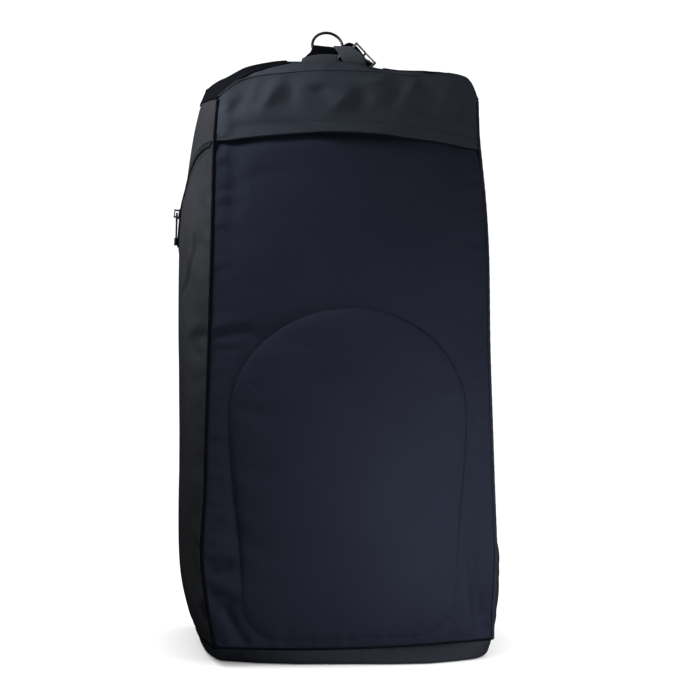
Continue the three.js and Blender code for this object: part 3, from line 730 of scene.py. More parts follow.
def drop_on(points, surface, toward):
    """Where each point lands when it is sent toward a surface; past its border, the nearest spot."""
    landed = []
    for point in points:
        hit = surface.ray_cast(Vector(point) - toward * DROP_FROM, toward)[0]
        landed.append(surface.find_nearest(Vector(point))[0] if hit is None else hit)
    return np.array(landed)


inward = near_rim(back_pad)[0]
rise = PAD_SWELL["edge"] * (1 - np.exp(-inward / PAD_SWELL["edge_reach"])) * firmness(places(back_pad)[:, 2])
rise += PAD_SWELL["crown"] * (1 - np.exp(-inward / PAD_SWELL["crown_reach"]))
landed = drop_on(places(back_pad), back_surface, -NEAR)
landed[:, 1] -= rise - PAD_SUNK["depth"] * np.exp(-inward / PAD_SUNK["reach"])
put(back_pad, landed)
face_toward(back_pad, NEAR)
settle(back_pad, inward < PAD_HELD, pressure=4, growth=0.002, cap=0.0025)
refine(back_pad, 1)
lay_weave(back_pad, [0, 2])
thicken(back_pad, CLOTH)
dress(back_pad, navy_cloth, "navy_cloth", "back_pad")

STITCH = {"width": 0.00064, "share": 0.82, "look_ahead": 0.3, "lift": 0.0001}


def lengths_along(line):
    """How far each point of a line is from its start, along it."""
    return np.concatenate([[0], np.cumsum(np.linalg.norm(np.diff(line, axis=0), axis=1))])


def evenly(line, pitch):
    """Points a fixed pitch apart along a line, and the way that it runs at each."""
    line = np.asarray(line)
    along = lengths_along(line)
    marks = np.arange(pitch / 2, along[-1], pitch)
    spots = np.column_stack([np.interp(marks, along, line[:, i]) for i in range(3)])
    run = np.column_stack([np.interp(marks, along, np.gradient(line[:, i], along)) for i in range(3)])
    return spots, unit(run)


def repeated(name, pattern, spots, run, up):
    """One piece made of many copies of a small pattern, each at its own spot and turn."""
    small = places(pattern)
    faces = [tuple(p.vertices) for p in pattern.data.polygons]
    side = unit(np.cross(up, run))
    up = np.cross(run, side)
    turned = sum(small[:, i, None] * axis[:, None] for i, axis in enumerate((run, side, up)))
    count = len(small)
    mesh = bpy.data.meshes.new(name)
    mesh.from_pydata(
        (turned + spots[:, None]).reshape(-1, 3),
        [],
        [tuple(i * count + v for v in face) for i in range(len(spots)) for face in faces],
    )
    bpy.data.objects.remove(pattern)
    piece = new_piece(name, mesh)
    bpy.ops.object.shade_smooth()
    return piece


def bead(length, width, height):
    """A small rounded grain, as one stitch or one tooth."""
    bpy.ops.object.select_all(action="DESELECT")
    bpy.ops.mesh.primitive_uv_sphere_add(segments=6, ring_count=5, radius=0.5)
    grain = bpy.context.object
    with editing(grain):
        bpy.ops.transform.resize(value=(length, width, height), center_override=(0, 0, 0))
    return grain


def stitch_row(name, lines, surface, toward, pitch):
    """Sewing along lines over a surface: short threads end to end, each sunk a little in the cloth."""
    spots, run = (np.concatenate(found) for found in zip(*[evenly(line, pitch) for line in lines]))
    landed = drop_on(spots, surface, toward)
    ahead = drop_on(spots + run * pitch * STITCH["look_ahead"], surface, toward)
    up = np.tile(-np.array(toward), (len(spots), 1))
    stitch = bead(pitch * STITCH["share"], STITCH["width"], STITCH["width"])
    return repeated(name, stitch, landed + up * STITCH["lift"], unit(ahead - landed), up)


def speckled(tree, colour, scale, detail, dark, light):
    """A colour that varies through the solid from dark to light; returns the noise that does so."""
    speckles = noise(tree, solid_spot(tree), scale, detail)
    mixed(tree, speckles, [dark * c for c in colour], [light * c for c in colour])
    return speckles


def thread(name, colour, gloss):
    """Spun polyester thread, twisted, with a low sheen."""
    material, tree = new_material(name, {"Roughness": 0.6, "Specular IOR Level": gloss})
    speckled(tree, colour, scale=1400, detail=2, dark=0.5, light=1.5)
    return material


dark_thread = thread("dark_thread", (0.0034, 0.004, 0.006), gloss=0.02)
pad_ring = np.concatenate([pad_ring, pad_ring[:1]])
quilt_stitches = stitch_row("quilt_stitches", [pad_ring], back_surface, -NEAR, pitch=0.0036)
dress(quilt_stitches, dark_thread, "seam_cord")


# Flap: a second layer of the navy cloth over the upper back, sewn in at the top and both sides.
# Its arched lower hem is turned up and stitched, and it stands off the back as an open slot.
FLAP_CLOTH = 0.0018
HEM = {"band": 0.0105, "soft": 0.0006, "extra": 0.0003, "drop": 0.002}
HEM_GROOVE = {"depth": 0.0003, "above": 0.0008, "width": 0.0014}
FLAP_HELD = {"rim": 0.004, "above_hem": 0.006}
HEM_LIFT = {"height": 0.0014, "reach": 0.02, "free_from": 0.03}
HEM_FACING = -0.7
SLOT = {"depth": 0.003, "from": 0.002, "fade": 0.006, "side": 0.02}
FLAP_LUMPS = [
    (-124, 551, 70, 14, 6, 1.8),
    (-108, 565, 65, 14, 7, -2.3),
    (-81, 564, 58, 15, 6, 3.1),
    (-60, 570, 80, 15, 8, -3.3),
    (-35, 587, -10, 12, 6, 2.2),
    (-30, 573, 12, 10, 7, -3.2),
    (-11, 561, 38, 13, 6, 3.2),
    (10, 565, 60, 12, 8, -2.8),
    (32, 584, 15, 16, 6, 2.4),
    (46, 568, 40, 15, 7, -2.6),
    (62, 578, 50, 14, 7, 2.6),
    (74, 557, -28, 14, 4, -2.4),
    (98, 566, 55, 16, 8, 2.2),
    (112, 556, 75, 13, 6, -1.8),
]


def lump_heights(across, height, lumps):
    """Soft rises and dents where the stuffing lies unevenly, each in a row of a table.

    A row gives its middle across and up, tilt in degrees, length, width and rise, in millimetres."""
    total = np.zeros(len(across))
    for middle, level, tilt, length, width, out in lumps:
        along, off = beside(across, height, middle, level, tilt)
        total += out * bell(along / length) * bell(off / width)
    return total / 1000


def above_hem(piece):
    """How high each vertex is above the sheet's lower border, and that border from left to right."""
    walk = rim_walk(piece.data)
    co = places(piece)
    _, _, out = near_rim(piece)
    hem = co[walk][out[walk][:, 2] < HEM_FACING]
    hem = hem[np.argsort(hem[:, 0])]
    return co[:, 2] - np.interp(co[:, 0], hem[:, 0], hem[:, 2]), hem


# The flap and the top are the same navy cloth as the back, but wear a lighter, greyer copy of it: painted
# light and a painted whitish sheen, for the lamps above that reach their upturned faces.
flap_cloth_painted_light = woven("flap_cloth_painted_light", (0.0055, 0.0065, 0.0086), WEAVE_PITCH, 0.78, (0.0098, 0.0113, 0.0136))
flap = outer_skin("strap_flap", "strap_flap_cloth", NEAR)
refine(flap, 2)
hem_height, _ = above_hem(flap)
sewn_edge = (near_rim(flap)[0] < FLAP_HELD["rim"]) & (hem_height > FLAP_HELD["above_hem"])
settle(flap, sewn_edge, pressure=1, growth=0.004, cap=0.002)
refine(flap, 1)
spots = places(flap)
raise_by(flap, lump_heights(spots[:, 0], spots[:, 2], FLAP_LUMPS))
hem_height, hem_edge = above_hem(flap)
band = 1 / (1 + np.exp((hem_height - HEM["band"]) / HEM["soft"]))
stitched = bell((hem_height - HEM["band"] - HEM_GROOVE["above"]) / HEM_GROOVE["width"])
free = np.clip((np.abs(spots[:, 0]).max() - np.abs(spots[:, 0])) / HEM_LIFT["free_from"], 0, 1)
lift = HEM_LIFT["height"] * np.exp(-hem_height / HEM_LIFT["reach"]) * free
raise_by(flap, HEM["extra"] * band - HEM_GROOVE["depth"] * stitched + lift)
hung = places(flap)
hung[:, 2] -= HEM["drop"] * np.exp(-hem_height / HEM_LIFT["reach"])
hem_edge = hem_edge - np.array((0, 0, HEM["drop"]))
put(flap, hung)
sew_to(flap, "piping_near_left", "piping_near_top", "piping_near_right")
lay_weave(flap, [0, 2])
flap_surface = skin_of(flap)
thicken(flap, FLAP_CLOTH)
dress(flap, flap_cloth_painted_light, "navy_cloth", "strap_flap")

behind = places(back_cloth)
below = np.interp(behind[:, 0], hem_edge[:, 0], hem_edge[:, 2]) - SLOT["from"] - behind[:, 2]
inside = np.clip((np.abs(behind[:, 0]).max() - np.abs(behind[:, 0])) / SLOT["side"], 0, 1)
behind[:, 1] += SLOT["depth"] * inside * bell(np.maximum(below, 0) / SLOT["fade"])
put(back_cloth, behind)

hem_row = hem_edge[2:-2] + np.array((0, 0, HEM["band"] + HEM_GROOVE["above"]))
hem_stitches = stitch_row("hem_stitches", [hem_row], flap_surface, -NEAR, pitch=0.0034)
dress(hem_stitches, dark_thread, "seam_cord")


# Side cloths: the two long walls, of a plainer near-black weave. The left one has the pocket,
# whose zip opening is bound by a low welt of turned cloth along its whole curve.
LEFT = Vector((-1, 0, 0))
RIGHT = Vector((1, 0, 0))
side_cloth = woven("side_cloth", (0.0036, 0.0038, 0.0045), WEAVE_PITCH, 0.8, (0.0105, 0.011, 0.0122))
ZIP_START = (-0.1207, 0.519)
ZIP_TURN = (0.0033, 0.465)
ZIP_END = 0.424
ZIP_STRAIGHT = 0.19
ZIP_POINTS = 160
WELT = {"off": 0.0046, "width": 0.0018, "height": 0.001, "sewn": 0.0022}
WELT_FULL = {"heights": (0.43, 0.466), "rise": 0.002, "reach": 0.016}


def zip_spot(t):
    """The pocket zip's line in y and z: a quarter of an ellipse, then straight down."""
    if t > 1 - ZIP_STRAIGHT:
        share = (t - 1 + ZIP_STRAIGHT) / ZIP_STRAIGHT
        return ZIP_TURN[0], ZIP_TURN[1] + (ZIP_END - ZIP_TURN[1]) * share
    turn = t / (1 - ZIP_STRAIGHT) * math.pi / 2
    y = ZIP_START[0] + (ZIP_TURN[0] - ZIP_START[0]) * math.sin(turn)
    return y, ZIP_TURN[1] + (ZIP_START[1] - ZIP_TURN[1]) * math.cos(turn)


LEFT_FOLDS = [
    (-100, 326, -8, 36, 7, 3.4, 0),
    (-92, 312, 6, 24, 5, 1.8, 0),
    (-66, 398, -48, 44, 3.4, 3.6, -12),
    (-126, 115, 18, 20, 6, 3, 0),
    (-130, 58, -30, 18, 5, 3.4, 0),
    (-84, 66, 34, 44, 8, 3, 0),
    (30, 210, 70, 70, 10, 2.4, 0),
    (92, 420, 24, 40, 8, 2.6, 0),
]
RIGHT_FOLDS = [
    (-100, 96, 62, 54, 8, 3.2, 0),
    (-60, 470, -24, 50, 8, 2.6, 0),
    (20, 300, 74, 80, 10, 2.4, 0),
    (96, 180, 20, 40, 8, 2.6, 0),
    (88, 520, -30, 36, 7, 2.4, 0),
]
SIDES = [
    {"side": "left", "facing": LEFT, "folds": LEFT_FOLDS, "phase": 1.1},
    {"side": "right", "facing": RIGHT, "folds": RIGHT_FOLDS, "phase": 2.3},
]
ZIP_LINE = np.array([zip_spot(t) for t in np.linspace(0, 1, ZIP_POINTS)])
surfaces = {}
skins = {}
for wall in SIDES:
    side = wall["side"]
    stuffing = {"pressure": 1.5, "growth": 0.008, "cap": 0.0015}
    gathers = {"pitch": 0.03, "phase": wall["phase"]}
    cloth, spots = filled(side, wall["facing"], [1, 2], wall["folds"], **stuffing, **gathers)
    if side == "left":
        wall_spots = spots[:, [1, 2]]
        off = distance_to(wall_spots, ZIP_LINE)
        raise_by(cloth, WELT["height"] * bell((off - WELT["off"]) / WELT["width"]))
        full_line = [(ZIP_TURN[0], z) for z in np.linspace(*WELT_FULL["heights"], 12)]
        off = distance_to(wall_spots, full_line)
        raise_by(cloth, WELT_FULL["rise"] * bell(off / WELT_FULL["reach"]))
    seams = [f"piping_near_{side}", f"piping_far_{side}", f"piping_{side}_base", f"binding_{side}_top"]
    surfaces[side], skins[side] = sewn_in(cloth, [1, 2], seams)
    dress(cloth, side_cloth, "side_cloth", side + "_panel")


# Front cloth: the wall away from the pad, one navy panel with the main zip down its middle.
# It is sewn and filled like the back.
FAR = Vector((0, 1, 0))
FRONT_FOLDS = [
    (-70, 140, 40, 50, 9, 2.6, 0),
    (74, 330, -28, 50, 9, 2.6, 0),
    (-84, 470, -16, 44, 8, 2.4, 0),
    (92, 70, 58, 40, 8, 2.6, 0),
    (88, 540, 30, 40, 8, 2.4, 0),
]
front_cloth, _ = filled(
    "front", FAR, [0, 2], FRONT_FOLDS, pressure=1.5, growth=0.014, cap=0.004, pitch=0.028, phase=3.2
)
front_seams = ["piping_far_left", "piping_far_right", "piping_far_base", "binding_far_top"]
surfaces["front"], _ = sewn_in(front_cloth, [0, 2], front_seams)
dress(front_cloth, navy_cloth, "navy_cloth", "front_panel")


# Top cloth: the upper end of the bag, a slack navy panel that domes and is dented by hand.
# The piping joins it to the back, and a bound seam joins it to the other walls.
UP = Vector((0, 0, 1))
TOP_FOLDS = [
    (-70, -70, 36, 44, 9, 2.8, 0),
    (70, -66, -30, 44, 9, 2.8, 0),
    (30, 66, 24, 50, 9, 2.6, 0),
    (-60, 80, -40, 40, 8, 2.4, 0),
]
top_cloth, _ = filled(
    "top", UP, [0, 1], TOP_FOLDS, pressure=0.5, growth=0.012, cap=0.002, pitch=0.027, phase=5.0, reach=0.016
)
top_seams = ["piping_near_top", "binding_left_top", "binding_far_top", "binding_right_top"]
_, skins["top"] = sewn_in(top_cloth, [0, 1], top_seams, down_by=0.002)
# It wears the flap's lighter copy of the navy cloth: painted light, as on the flap.
dress(top_cloth, flap_cloth_painted_light, "navy_cloth", "top_panel")


# Base cloth: the lower end, which the bag stands on. It lies flat on the floor
# and rounds up to its corded seam, gathered a little at the corners.
DOWN = Vector((0, 0, -1))
BASE_RISE = 0.026
BASE_ROUND = 0.0036
BASE_BULGE = 0.003
BASE_EDGE = {
    "from_y": -0.06,
    "full_over": 0.06,
    "x": [-0.152, -0.124, -0.089, -0.054, 0, 0.04, 0.078, 0.11, 0.13, 0.145],
    "forward": [-0.03, -0.022, -0.006, 0.004, 0.012, 0.02, 0.024, 0.017, 0.01, -0.004],
}
base_cloth = outer_skin("base_panel", "base_cloth", DOWN)
refine(base_cloth, 3)
pucker(base_cloth, depth=0.0012, reach=0.016, pitch=0.024, phase=1.9)
roll_edges(base_cloth, out_by=0.001, down_by=0.002, reach=0.008)
lay_weave(base_cloth, [0, 1])
inward, _, out = near_rim(base_cloth)
lowest = places(base_cloth)
out[:, 2] = 0
bulge = BASE_BULGE * bell((inward - 2 * BASE_ROUND) / (2 * BASE_ROUND))
lowest += out * bulge[:, None]
lowest[:, 2] = np.clip(lowest[:, 2], 0, BASE_RISE * np.exp(-inward / BASE_ROUND))
near = np.clip((BASE_EDGE["from_y"] - lowest[:, 1]) / BASE_EDGE["full_over"], 0, 1)
near *= np.clip(1 - lowest[:, 2] / BASE_RISE, 0, 1)
lowest[:, 1] -= np.interp(lowest[:, 0], BASE_EDGE["x"], BASE_EDGE["forward"]) * near
put(base_cloth, lowest)
sew_to(base_cloth, "piping_near_base", "piping_far_base", "piping_left_base", "piping_right_base")
thicken(base_cloth, CLOTH)
base_weave = woven("base_weave", (0.0042, 0.0047, 0.0062), WEAVE_PITCH, 0.8, (0.007, 0.0076, 0.0094))
dress(base_cloth, base_weave, "side_cloth", "base_panel")


# Piping: a cord covered in bias-cut navy cloth, caught in every seam, and finest along the base and the top
# of the back.
# It shows navy along the right of the back. Elsewhere its cover is painted near-black, painted shade for the
# shadowed seams between bulging panels, and along the top of the back it is painted lighter, painted light to
# match the flap.
# A bound edge closes the other three sides.
PIPING_RADIUS = 0.0018
BASE_RADIUS = 0.0012
BINDING_RADIUS = 0.0017
EDGE_RADIUS = 0.0008
CORD_UNEVEN = 0.07


def round_cord(name, line, radius, closed=False, uneven=0.0, sides=3):
    """A round cord along a line, a little thicker and thinner in places."""
    curve = bpy.data.curves.new(name, "CURVE")
    curve.dimensions = "3D"
    curve.bevel_depth = radius
    curve.bevel_resolution = sides
    curve.use_fill_caps = not closed
    spline = curve.splines.new("POLY")
    spline.points.add(len(line) - 1)
    spline.points.foreach_set("co", np.column_stack([line, np.ones(len(line))]).ravel())
    waves = unevenly(lengths_along(line), pitch=0.011, phase=0.3)
    spline.points.foreach_set("radius", 1 + uneven * waves)
    spline.use_cyclic_u = closed
    new_piece(name, curve)
    bpy.ops.object.convert(target="MESH")
    bpy.ops.object.shade_smooth()
    return bpy.context.object


def bias_cover(name, colour):
    """Bias-cut cloth drawn tight over a cord: fine slanting threads and small gathers."""
    material, tree = new_material(name, {"Roughness": 0.72, "Specular IOR Level": 0})
    gathers = speckled(tree, colour, scale=160, detail=2, dark=0.6, light=1.4)
    threads = noise(tree, solid_spot(tree), scale=900)
    bumped(tree, maths(tree, "ADD", threads, gathers), 0.0003)
    return material


# Near-black: painted shade, for the shadow along the seams between bulging panels. It covers the binding too.
seam_cover_painted_shade = bias_cover("seam_cover_painted_shade", (0.001, 0.0011, 0.0015))
navy_cover = bias_cover("navy_cover", (0.0045, 0.0052, 0.008))
# Lighter than the navy: painted light, matching the lighter painted flap beside this seam.
edge_cover_painted_light = bias_cover("edge_cover_painted_light", (0.0068, 0.0075, 0.01))
FAR_PIPING = ["piping_far_left", "piping_far_base", "piping_far_right"]
TOP_BINDING = ["binding_left_top", "binding_far_top", "binding_right_top"]
CORDS = [
    ("left_piping", ["piping_near_left"], PIPING_RADIUS, seam_cover_painted_shade),
    ("back_base_piping", ["piping_near_base"], BASE_RADIUS, seam_cover_painted_shade),
    ("right_piping", ["piping_near_right"], PIPING_RADIUS, navy_cover),
    ("top_edge_piping", ["piping_near_top"], EDGE_RADIUS, edge_cover_painted_light),
    ("front_piping", FAR_PIPING, PIPING_RADIUS, seam_cover_painted_shade),
    ("base_piping_left", ["piping_left_base"], BASE_RADIUS, seam_cover_painted_shade),
    ("base_piping_right", ["piping_right_base"], BASE_RADIUS, seam_cover_painted_shade),
    ("top_binding", TOP_BINDING, BINDING_RADIUS, seam_cover_painted_shade),
]


def joined(lines):
    """Lines that meet end to end, put together as one."""
    whole = lines[0]
    for line in lines[1:]:
        ends = [np.linalg.norm(whole[i] - line[j]) for i in (0, -1) for j in (0, -1)]
        nearest = int(np.argmin(ends))
        if nearest < 2:
            whole = whole[::-1]
        whole = np.concatenate([whole, line[::-1] if nearest % 2 else line])
    return whole


for name, seams, radius, cover in CORDS:
    line = joined([seam_line(node) for node in seams])
    line = smooth_line(into_corners(line, CORNER_REACH), SEAM_STEP)
    piece = round_cord(name, line, radius, uneven=CORD_UNEVEN)
    dress(piece, cover, "seam_cord", *seams)


# Zips: nylon coil zips, each with two woven tapes and two rows of meshed teeth. One closes the pocket
# on the left wall along its curve, and one runs up the middle of the front.
TAPE = {"thick": 0.0006, "above": 0.0009, "columns": 6}
COIL = {"apart": 0.3, "raised": 0.25}


def sideways(line, toward):
    """Which way is sideways along a line that is seen in a direction."""
    return unit(np.cross(np.gradient(line, axis=0), np.array(toward)))


def strip(name, line, columns, rows):
    """A flat grid, and for each of its vertices a share across, from -1 to 1, and the point of a line."""
    bpy.ops.object.select_all(action="DESELECT")
    bpy.ops.mesh.primitive_grid_add(x_subdivisions=columns, y_subdivisions=rows, size=2)
    band = bpy.context.object
    band.name = name
    flat = places(band)
    return band, flat[:, 0], np.rint((flat[:, 1] + 1) / 2 * (len(line) - 1)).astype(int)


def ribbon(name, line, half, columns, surface, toward, above):
    """A flat band that follows a line over a surface, a little above it."""
    band, across, row = strip(name, line, columns, len(line) - 1)
    spots = line[row] + sideways(line, toward)[row] * (across[:, None] * half)
    put(band, drop_on(spots, surface, toward) - np.array(toward) * above)
    face_toward(band, -toward)
    lay_weave(band, None, np.column_stack([across * half, lengths_along(line)[row]]))
    return band


zip_tape = woven("zip_tape", (0.0012, 0.0013, 0.0016), 0.0009, 0.8, (0.0022, 0.0023, 0.0027))
coil_nylon = thread("coil_nylon", (0.0014, 0.0015, 0.0018), gloss=0.02)
ZIPS = [
    {
        "name": "pocket_zip",
        "line": np.array([(-0.15, *zip_spot(t)) for t in np.linspace(0, 1, 120)]),
        "surface": surfaces["left"],
        "toward": RIGHT,
        "half": 0.0036,
        "pitch": 0.0017,
        "tooth": (0.0015, 0.0024, 0.0013),
    },
    {
        "name": "main_zip",
        "line": np.array([(0.0016, 0.15, z) for z in np.linspace(0.062, 0.572, 180)]),
        "surface": surfaces["front"],
        "toward": NEAR,
        "half": 0.0095,
        "pitch": 0.0026,
        "tooth": (0.0023, 0.0036, 0.002),
    },
]
for fastener in ZIPS:
    line, toward = fastener["line"], fastener["toward"]
    length, width, height = fastener["tooth"]
    name, half, surface = fastener["name"], fastener["half"], fastener["surface"]
    tape = ribbon(name + "_tapes", line, half, TAPE["columns"], surface, toward, TAPE["above"])
    tape_skin = skin_of(tape)
    thicken(tape, TAPE["thick"])
    dress(tape, zip_tape, "zip", name)
    spots, run = evenly(line, fastener["pitch"])
    out = np.tile(-np.array(toward), (len(spots), 1))
    aside = unit(np.cross(run, out)) * width * COIL["apart"]
    both = np.concatenate([spots + aside, spots + run * fastener["pitch"] / 2 - aside])
    landed = drop_on(both, tape_skin, toward) - np.array(toward) * height * COIL["raised"]
    tooth = bead(length, width, height)
    twice = [np.concatenate([way, way]) for way in (run, out)]
    teeth = repeated(name + "_teeth", tooth, landed, *twice)
    dress(teeth, coil_nylon, "zip")

ZIP_SEWN = WELT["off"] + WELT["sewn"]
pocket_line = ZIPS[0]["line"]
welt_rows = [pocket_line + sideways(pocket_line, RIGHT) * way * ZIP_SEWN for way in (-1, 1)]
welt_stitches = stitch_row("welt_stitches", welt_rows, surfaces["left"], RIGHT, pitch=0.0032)
dress(welt_stitches, dark_thread, "seam_cord")


# Pocket slider and pull: a die-cast slider on the coil with a flat plated pull hung through its bridge.
# The pull ends in a small round knob and flips up about the bridge.
METAL_EASE = 0.00025
FLAT_TURN = math.radians(3)
EDGE_TURN = math.radians(35)
SMOOTH_TURN = math.radians(40)


def ease(piece, width, angle):
    """Rounds the edges that turn by more than an angle."""
    finish_with(piece, "BEVEL", width=width, segments=2, limit_method="ANGLE", angle_limit=angle)


def eased_copy(node, name, width):
    """A solid of the construction model with its edges eased, as on a cast or stamped part."""
    piece = merged_copy(node, name)
    with editing(piece):
        bpy.ops.mesh.dissolve_limited(angle_limit=FLAT_TURN)
    ease(piece, width, EDGE_TURN)
    bpy.ops.object.shade_smooth_by_angle(angle=SMOOTH_TURN)
    return piece


def metal(name, colour, roughness):
    """Plated metal with faint rubbing and stains from handling."""
    material, tree = new_material(name, {"Metallic": 1})
    stains = speckled(tree, colour, scale=240, detail=4, dark=0.7, light=1.2)
    surface_of(tree, {"Roughness": ramp(tree, stains, to_min=roughness - 0.1, to_max=roughness + 0.15)})
    return material


gunmetal = metal("gunmetal", (0.014, 0.014, 0.015), 0.36)
nickel = metal("nickel", (0.1, 0.1, 0.1), 0.3)
slider = eased_copy("pocket_zip_slider", "pocket_zip_slider_cast", METAL_EASE)
dress(slider, gunmetal, "dark_metal", "pocket_zip_slider")
pull = eased_copy("pocket_zip_pull", "pocket_zip_pull_plate", METAL_EASE)
dress(pull, gunmetal, "dark_metal", "pocket_zip_pull", body="pull")


# Ring: a welded D of round steel wire, plated dark. Its straight bar lies in the webbing loop,
# and it swings about that bar.
RING_BAR = (-0.000387, 0.003277, 0.641)
RING_LEAN = math.radians(20)
RING_WIRE = 0.0016
RING_HALF = 0.0166
RING_LEG = 0.003
RING_CORNER = 0.0022

ring_path = []
for turn in np.linspace(0, math.pi, 25):
    ring_path.append((RING_HALF * math.cos(turn), RING_LEG + RING_HALF * math.sin(turn)))
for middle, start in ((RING_CORNER - RING_HALF, math.pi), (RING_HALF - RING_CORNER, 1.5 * math.pi)):
    for turn in np.linspace(start, start + math.pi / 2, 6):
        ring_path.append((middle + RING_CORNER * math.cos(turn), RING_CORNER * (1 + math.sin(turn))))
across, rise = np.array(ring_path).T
ring_turned = np.column_stack([across, rise * math.sin(RING_LEAN), rise * math.cos(RING_LEAN)])
d_ring = round_cord("d_ring_wire", ring_turned + np.array(RING_BAR), RING_WIRE, closed=True, sides=4)
dress(d_ring, gunmetal, "dark_metal", "d_ring", body="ring")


# Ring tab and loop: a reinforcing tab of the navy cloth sewn on the top, and a fold of black webbing
# sewn to it that holds the ring. Two short pale bar tacks fix the tab's end.
WEBBING_RELIEF = 0.0006
BLACK = (0.0008, 0.0009, 0.0012)
BLACK_DUST = (0.0018, 0.002, 0.0025)
black_webbing = woven("black_webbing", BLACK, 0.0022, 0.74, BLACK_DUST, WEBBING_RELIEF)
pale_thread = thread("pale_thread", (0.03, 0.033, 0.036), gloss=0.05)
TAB_LOW, TAB_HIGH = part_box("ring_tab")
TACKS_AT = (0.0076, 0.0112)
TACK_RISE = (0.6235, 0.6335)
TAB_TALLER = 1.42
TAB_WIDER = 1.5
TAB_SHIFT = 0.0065
TAB_EASE = 0.0008
TAB_SEWN = {"side": 0.0024, "end": 0.003}
LOOP_WIDER = 1.27
LOOP_FLARE = {"top": 0.0028, "foot": 0.012, "power": 1.5}
LOOP_SUNK = 0.004
LOOP_BEND = 0.004
LOOP_EASE = 0.0004
LOOP_SLOPE = 0.0022
ring_tab = eased_copy("ring_tab", "ring_tab_cloth", TAB_EASE)
raised = places(ring_tab)
raised[:, 2] = TAB_LOW.z + (raised[:, 2] - TAB_LOW.z) * TAB_TALLER
raised[:, 0] = TAB_LOW.x + TAB_SHIFT + (raised[:, 0] - TAB_LOW.x) * TAB_WIDER
put(ring_tab, raised)
lay_weave(ring_tab, [0, 1])
tab_skin = skin_of(ring_tab)
# The tab is of the navy cloth, painted lighter here: painted light on its upright face, which the lamps only
# graze.
tab_cloth_painted_light = woven("tab_cloth_painted_light", (0.0095, 0.0108, 0.0128), WEAVE_PITCH, 0.78, (0.016, 0.0178, 0.02))
dress(ring_tab, tab_cloth_painted_light, "navy_cloth", "ring_tab")
tab_rows = []
for y in (TAB_LOW.y + TAB_SEWN["side"], TAB_HIGH.y - TAB_SEWN["side"]):
    across = np.linspace(TAB_LOW.x + TAB_SEWN["end"], TAB_HIGH.x - TAB_SEWN["end"], 20)
    tab_rows.append(np.array([(x, y, TAB_HIGH.z) for x in across]))
tab_stitches = stitch_row("tab_stitches", tab_rows, tab_skin, DOWN, pitch=0.0028)
dress(tab_stitches, dark_thread, "seam_cord")
tacks = [np.array([(x, TAB_LOW.y, z) for z in np.linspace(*TACK_RISE, 8)]) for x in TACKS_AT]
bar_tacks = stitch_row("bar_tacks", tacks, tab_skin, FAR, pitch=0.0024)
dress(bar_tacks, pale_thread, "seam_cord")
ring_loop = eased_copy("ring_loop", "ring_loop_webbing", LOOP_EASE)
LOOP_LOW, LOOP_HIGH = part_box("ring_loop")
flared = places(ring_loop)
bend = LOOP_HIGH.z - LOOP_BEND
lower = np.clip((bend - flared[:, 2]) / (bend - LOOP_LOW.z), 0, 1)
leftward = (LOOP_HIGH.x - flared[:, 0]) / (LOOP_HIGH.x - LOOP_LOW.x)
flared[:, 0] = LOOP_LOW.x + (flared[:, 0] - LOOP_LOW.x) * LOOP_WIDER
flared[:, 0] -= (LOOP_FLARE["top"] + LOOP_FLARE["foot"] * lower ** LOOP_FLARE["power"]) * leftward
flared[:, 2] -= LOOP_SUNK * lower + LOOP_SLOPE * (1 - leftward) * (1 - lower)
put(ring_loop, flared)
lay_weave(ring_loop, [0, 2])
dress(ring_loop, black_webbing, "black_webbing", "ring_loop")


# End bands: wide black webbing of a coarse weave, sewn down across the top end on both sides of the ring.
# They take the pull of the ring and lie close on the cloth; the front edge slants back from the seam,
# and the outer ends turn down over the upper edge of the side walls.
BAND = 0.002
BAND_RAISE = 0.0012
BAND_SHORT = 0.0145
BAND_SLANT = {"from": 0.066, "to": 0.012, "back": 0.04}
BAND_SEWN = 0.005
BAND_NEAR_SEWN = 0.0075
BAND_TURNED = {"down": 0.001, "slope": 0.095}


def trim(piece, at, out):
    """Cuts off the part of a sheet that lies beyond a plane."""
    with editing(piece):
        bpy.ops.mesh.bisect(plane_co=at, plane_no=out, clear_outer=True)


def webbing_on(skin, name, cuts):
    """Webbing that lies on a cloth: the cloth's outside, cut along planes and raised a little."""
    webbing = new_piece(name, skin.copy())
    for at, out in cuts:
        trim(webbing, at, out)
    raise_by(webbing, np.full(len(webbing.data.vertices), BAND_RAISE))
    return webbing


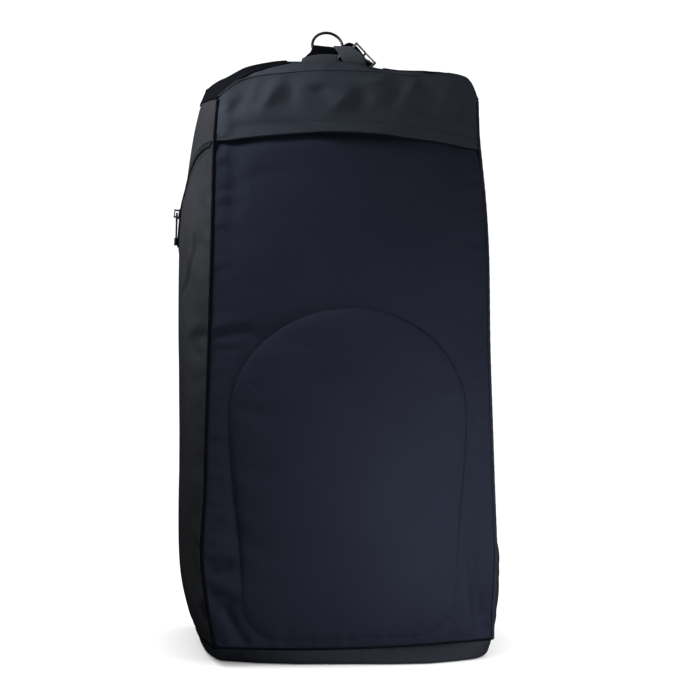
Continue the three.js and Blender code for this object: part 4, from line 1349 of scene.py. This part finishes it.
near_seam = seam_line("piping_near_top")
for side, way in (("left", -1), ("right", 1)):
    node = "end_webbing_" + side
    low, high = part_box(node)
    inner, outer = (high.x - BAND_SHORT, low.x) if way < 0 else (low.x, high.x)
    turn_x = inner + way * BAND_SLANT["from"]
    turn_y = np.interp(turn_x, near_seam[:, 0], near_seam[:, 1])
    slope = BAND_SLANT["back"] / (BAND_SLANT["from"] - BAND_SLANT["to"])
    far_cut = ((0, high.y, 0), (0, 1, 0))
    slant_cut = ((turn_x, turn_y, 0), (-way * slope, -1, 0))
    band = webbing_on(skins["top"], node + "_band", [((inner, 0, 0), (-way, 0, 0)), far_cut, slant_cut])
    band_skin = skin_of(band)
    edge = seam_line(f"binding_{side}_top")
    corner = edge[edge[:, 1].argmin()] - np.array((0, 0, BAND_TURNED["down"]))
    lower_cut = (corner, (0, BAND_TURNED["slope"], -1))
    turned = webbing_on(skins[side], node + "_turned", [lower_cut, far_cut])
    active_only(band)
    turned.select_set(True)
    bpy.ops.object.join()
    thicken(band, BAND)
    dress(band, black_webbing, "black_webbing", node)
    far_row = [(x, high.y - BAND_SEWN, high.z) for x in np.linspace(outer, inner, 40)]
    near_row = [
        (x, turn_y + slope * abs(x - turn_x) + BAND_NEAR_SEWN, high.z)
        for x in np.linspace(turn_x, inner, 40)
    ]
    rows = [np.array(far_row), np.array(near_row)]
    sewing = stitch_row(node + "_stitches", rows, band_skin, DOWN, pitch=0.0032)
    dress(sewing, dark_thread, "seam_cord")


# Keeper: a short length of grey webbing that rises from the top through a metal slide, with its cut tail
# hanging in front. A black webbing backs it and arches over it through the slide.
GREY = (0.013, 0.015, 0.0175)
GREY_DUST = (0.022, 0.025, 0.028)
grey_webbing = woven("grey_webbing", GREY, 0.0018, 0.76, GREY_DUST, WEBBING_RELIEF)
BACKING_X = [0.013, 0.0157, 0.0223, 0.0284, 0.0339, 0.0394, 0.045]
BACKING_Z = [0.6401, 0.6439, 0.6469, 0.6445, 0.639, 0.6314, 0.6233]
BACKING_AT = 0.002
BACKING_HALF = 0.007
BACKING_STEP = 0.0004
WEBBING_EASE = 0.0003
SLIDE_EASE = 0.0005
WEBBING_TURN = math.radians(50)
for node, axes in (("keeper_strap", [0, 1]), ("keeper_tail", [0, 2])):
    webbing = merged_copy(node, node + "_webbing")
    ease(webbing, WEBBING_EASE, WEBBING_TURN)
    bpy.ops.object.shade_smooth_by_angle(angle=WEBBING_TURN)
    lay_weave(webbing, axes)
    dress(webbing, grey_webbing, "grey_webbing", node)
arc = smooth_line([(x, 0, z) for x, z in zip(BACKING_X, BACKING_Z)], BACKING_STEP)
backing, across, row = strip("keeper_backing_webbing", arc, columns=2, rows=24)
spots = arc[row]
spots[:, 1] = BACKING_AT + across * BACKING_HALF
put(backing, spots)
face_toward(backing, UP)
lay_weave(backing, [0, 1])
thicken(backing, BAND)
dress(backing, black_webbing, "black_webbing")
slide = eased_copy("slide_buckle", "slide_buckle_wire", SLIDE_EASE)
dress(slide, nickel, "bright_metal", "slide_buckle")
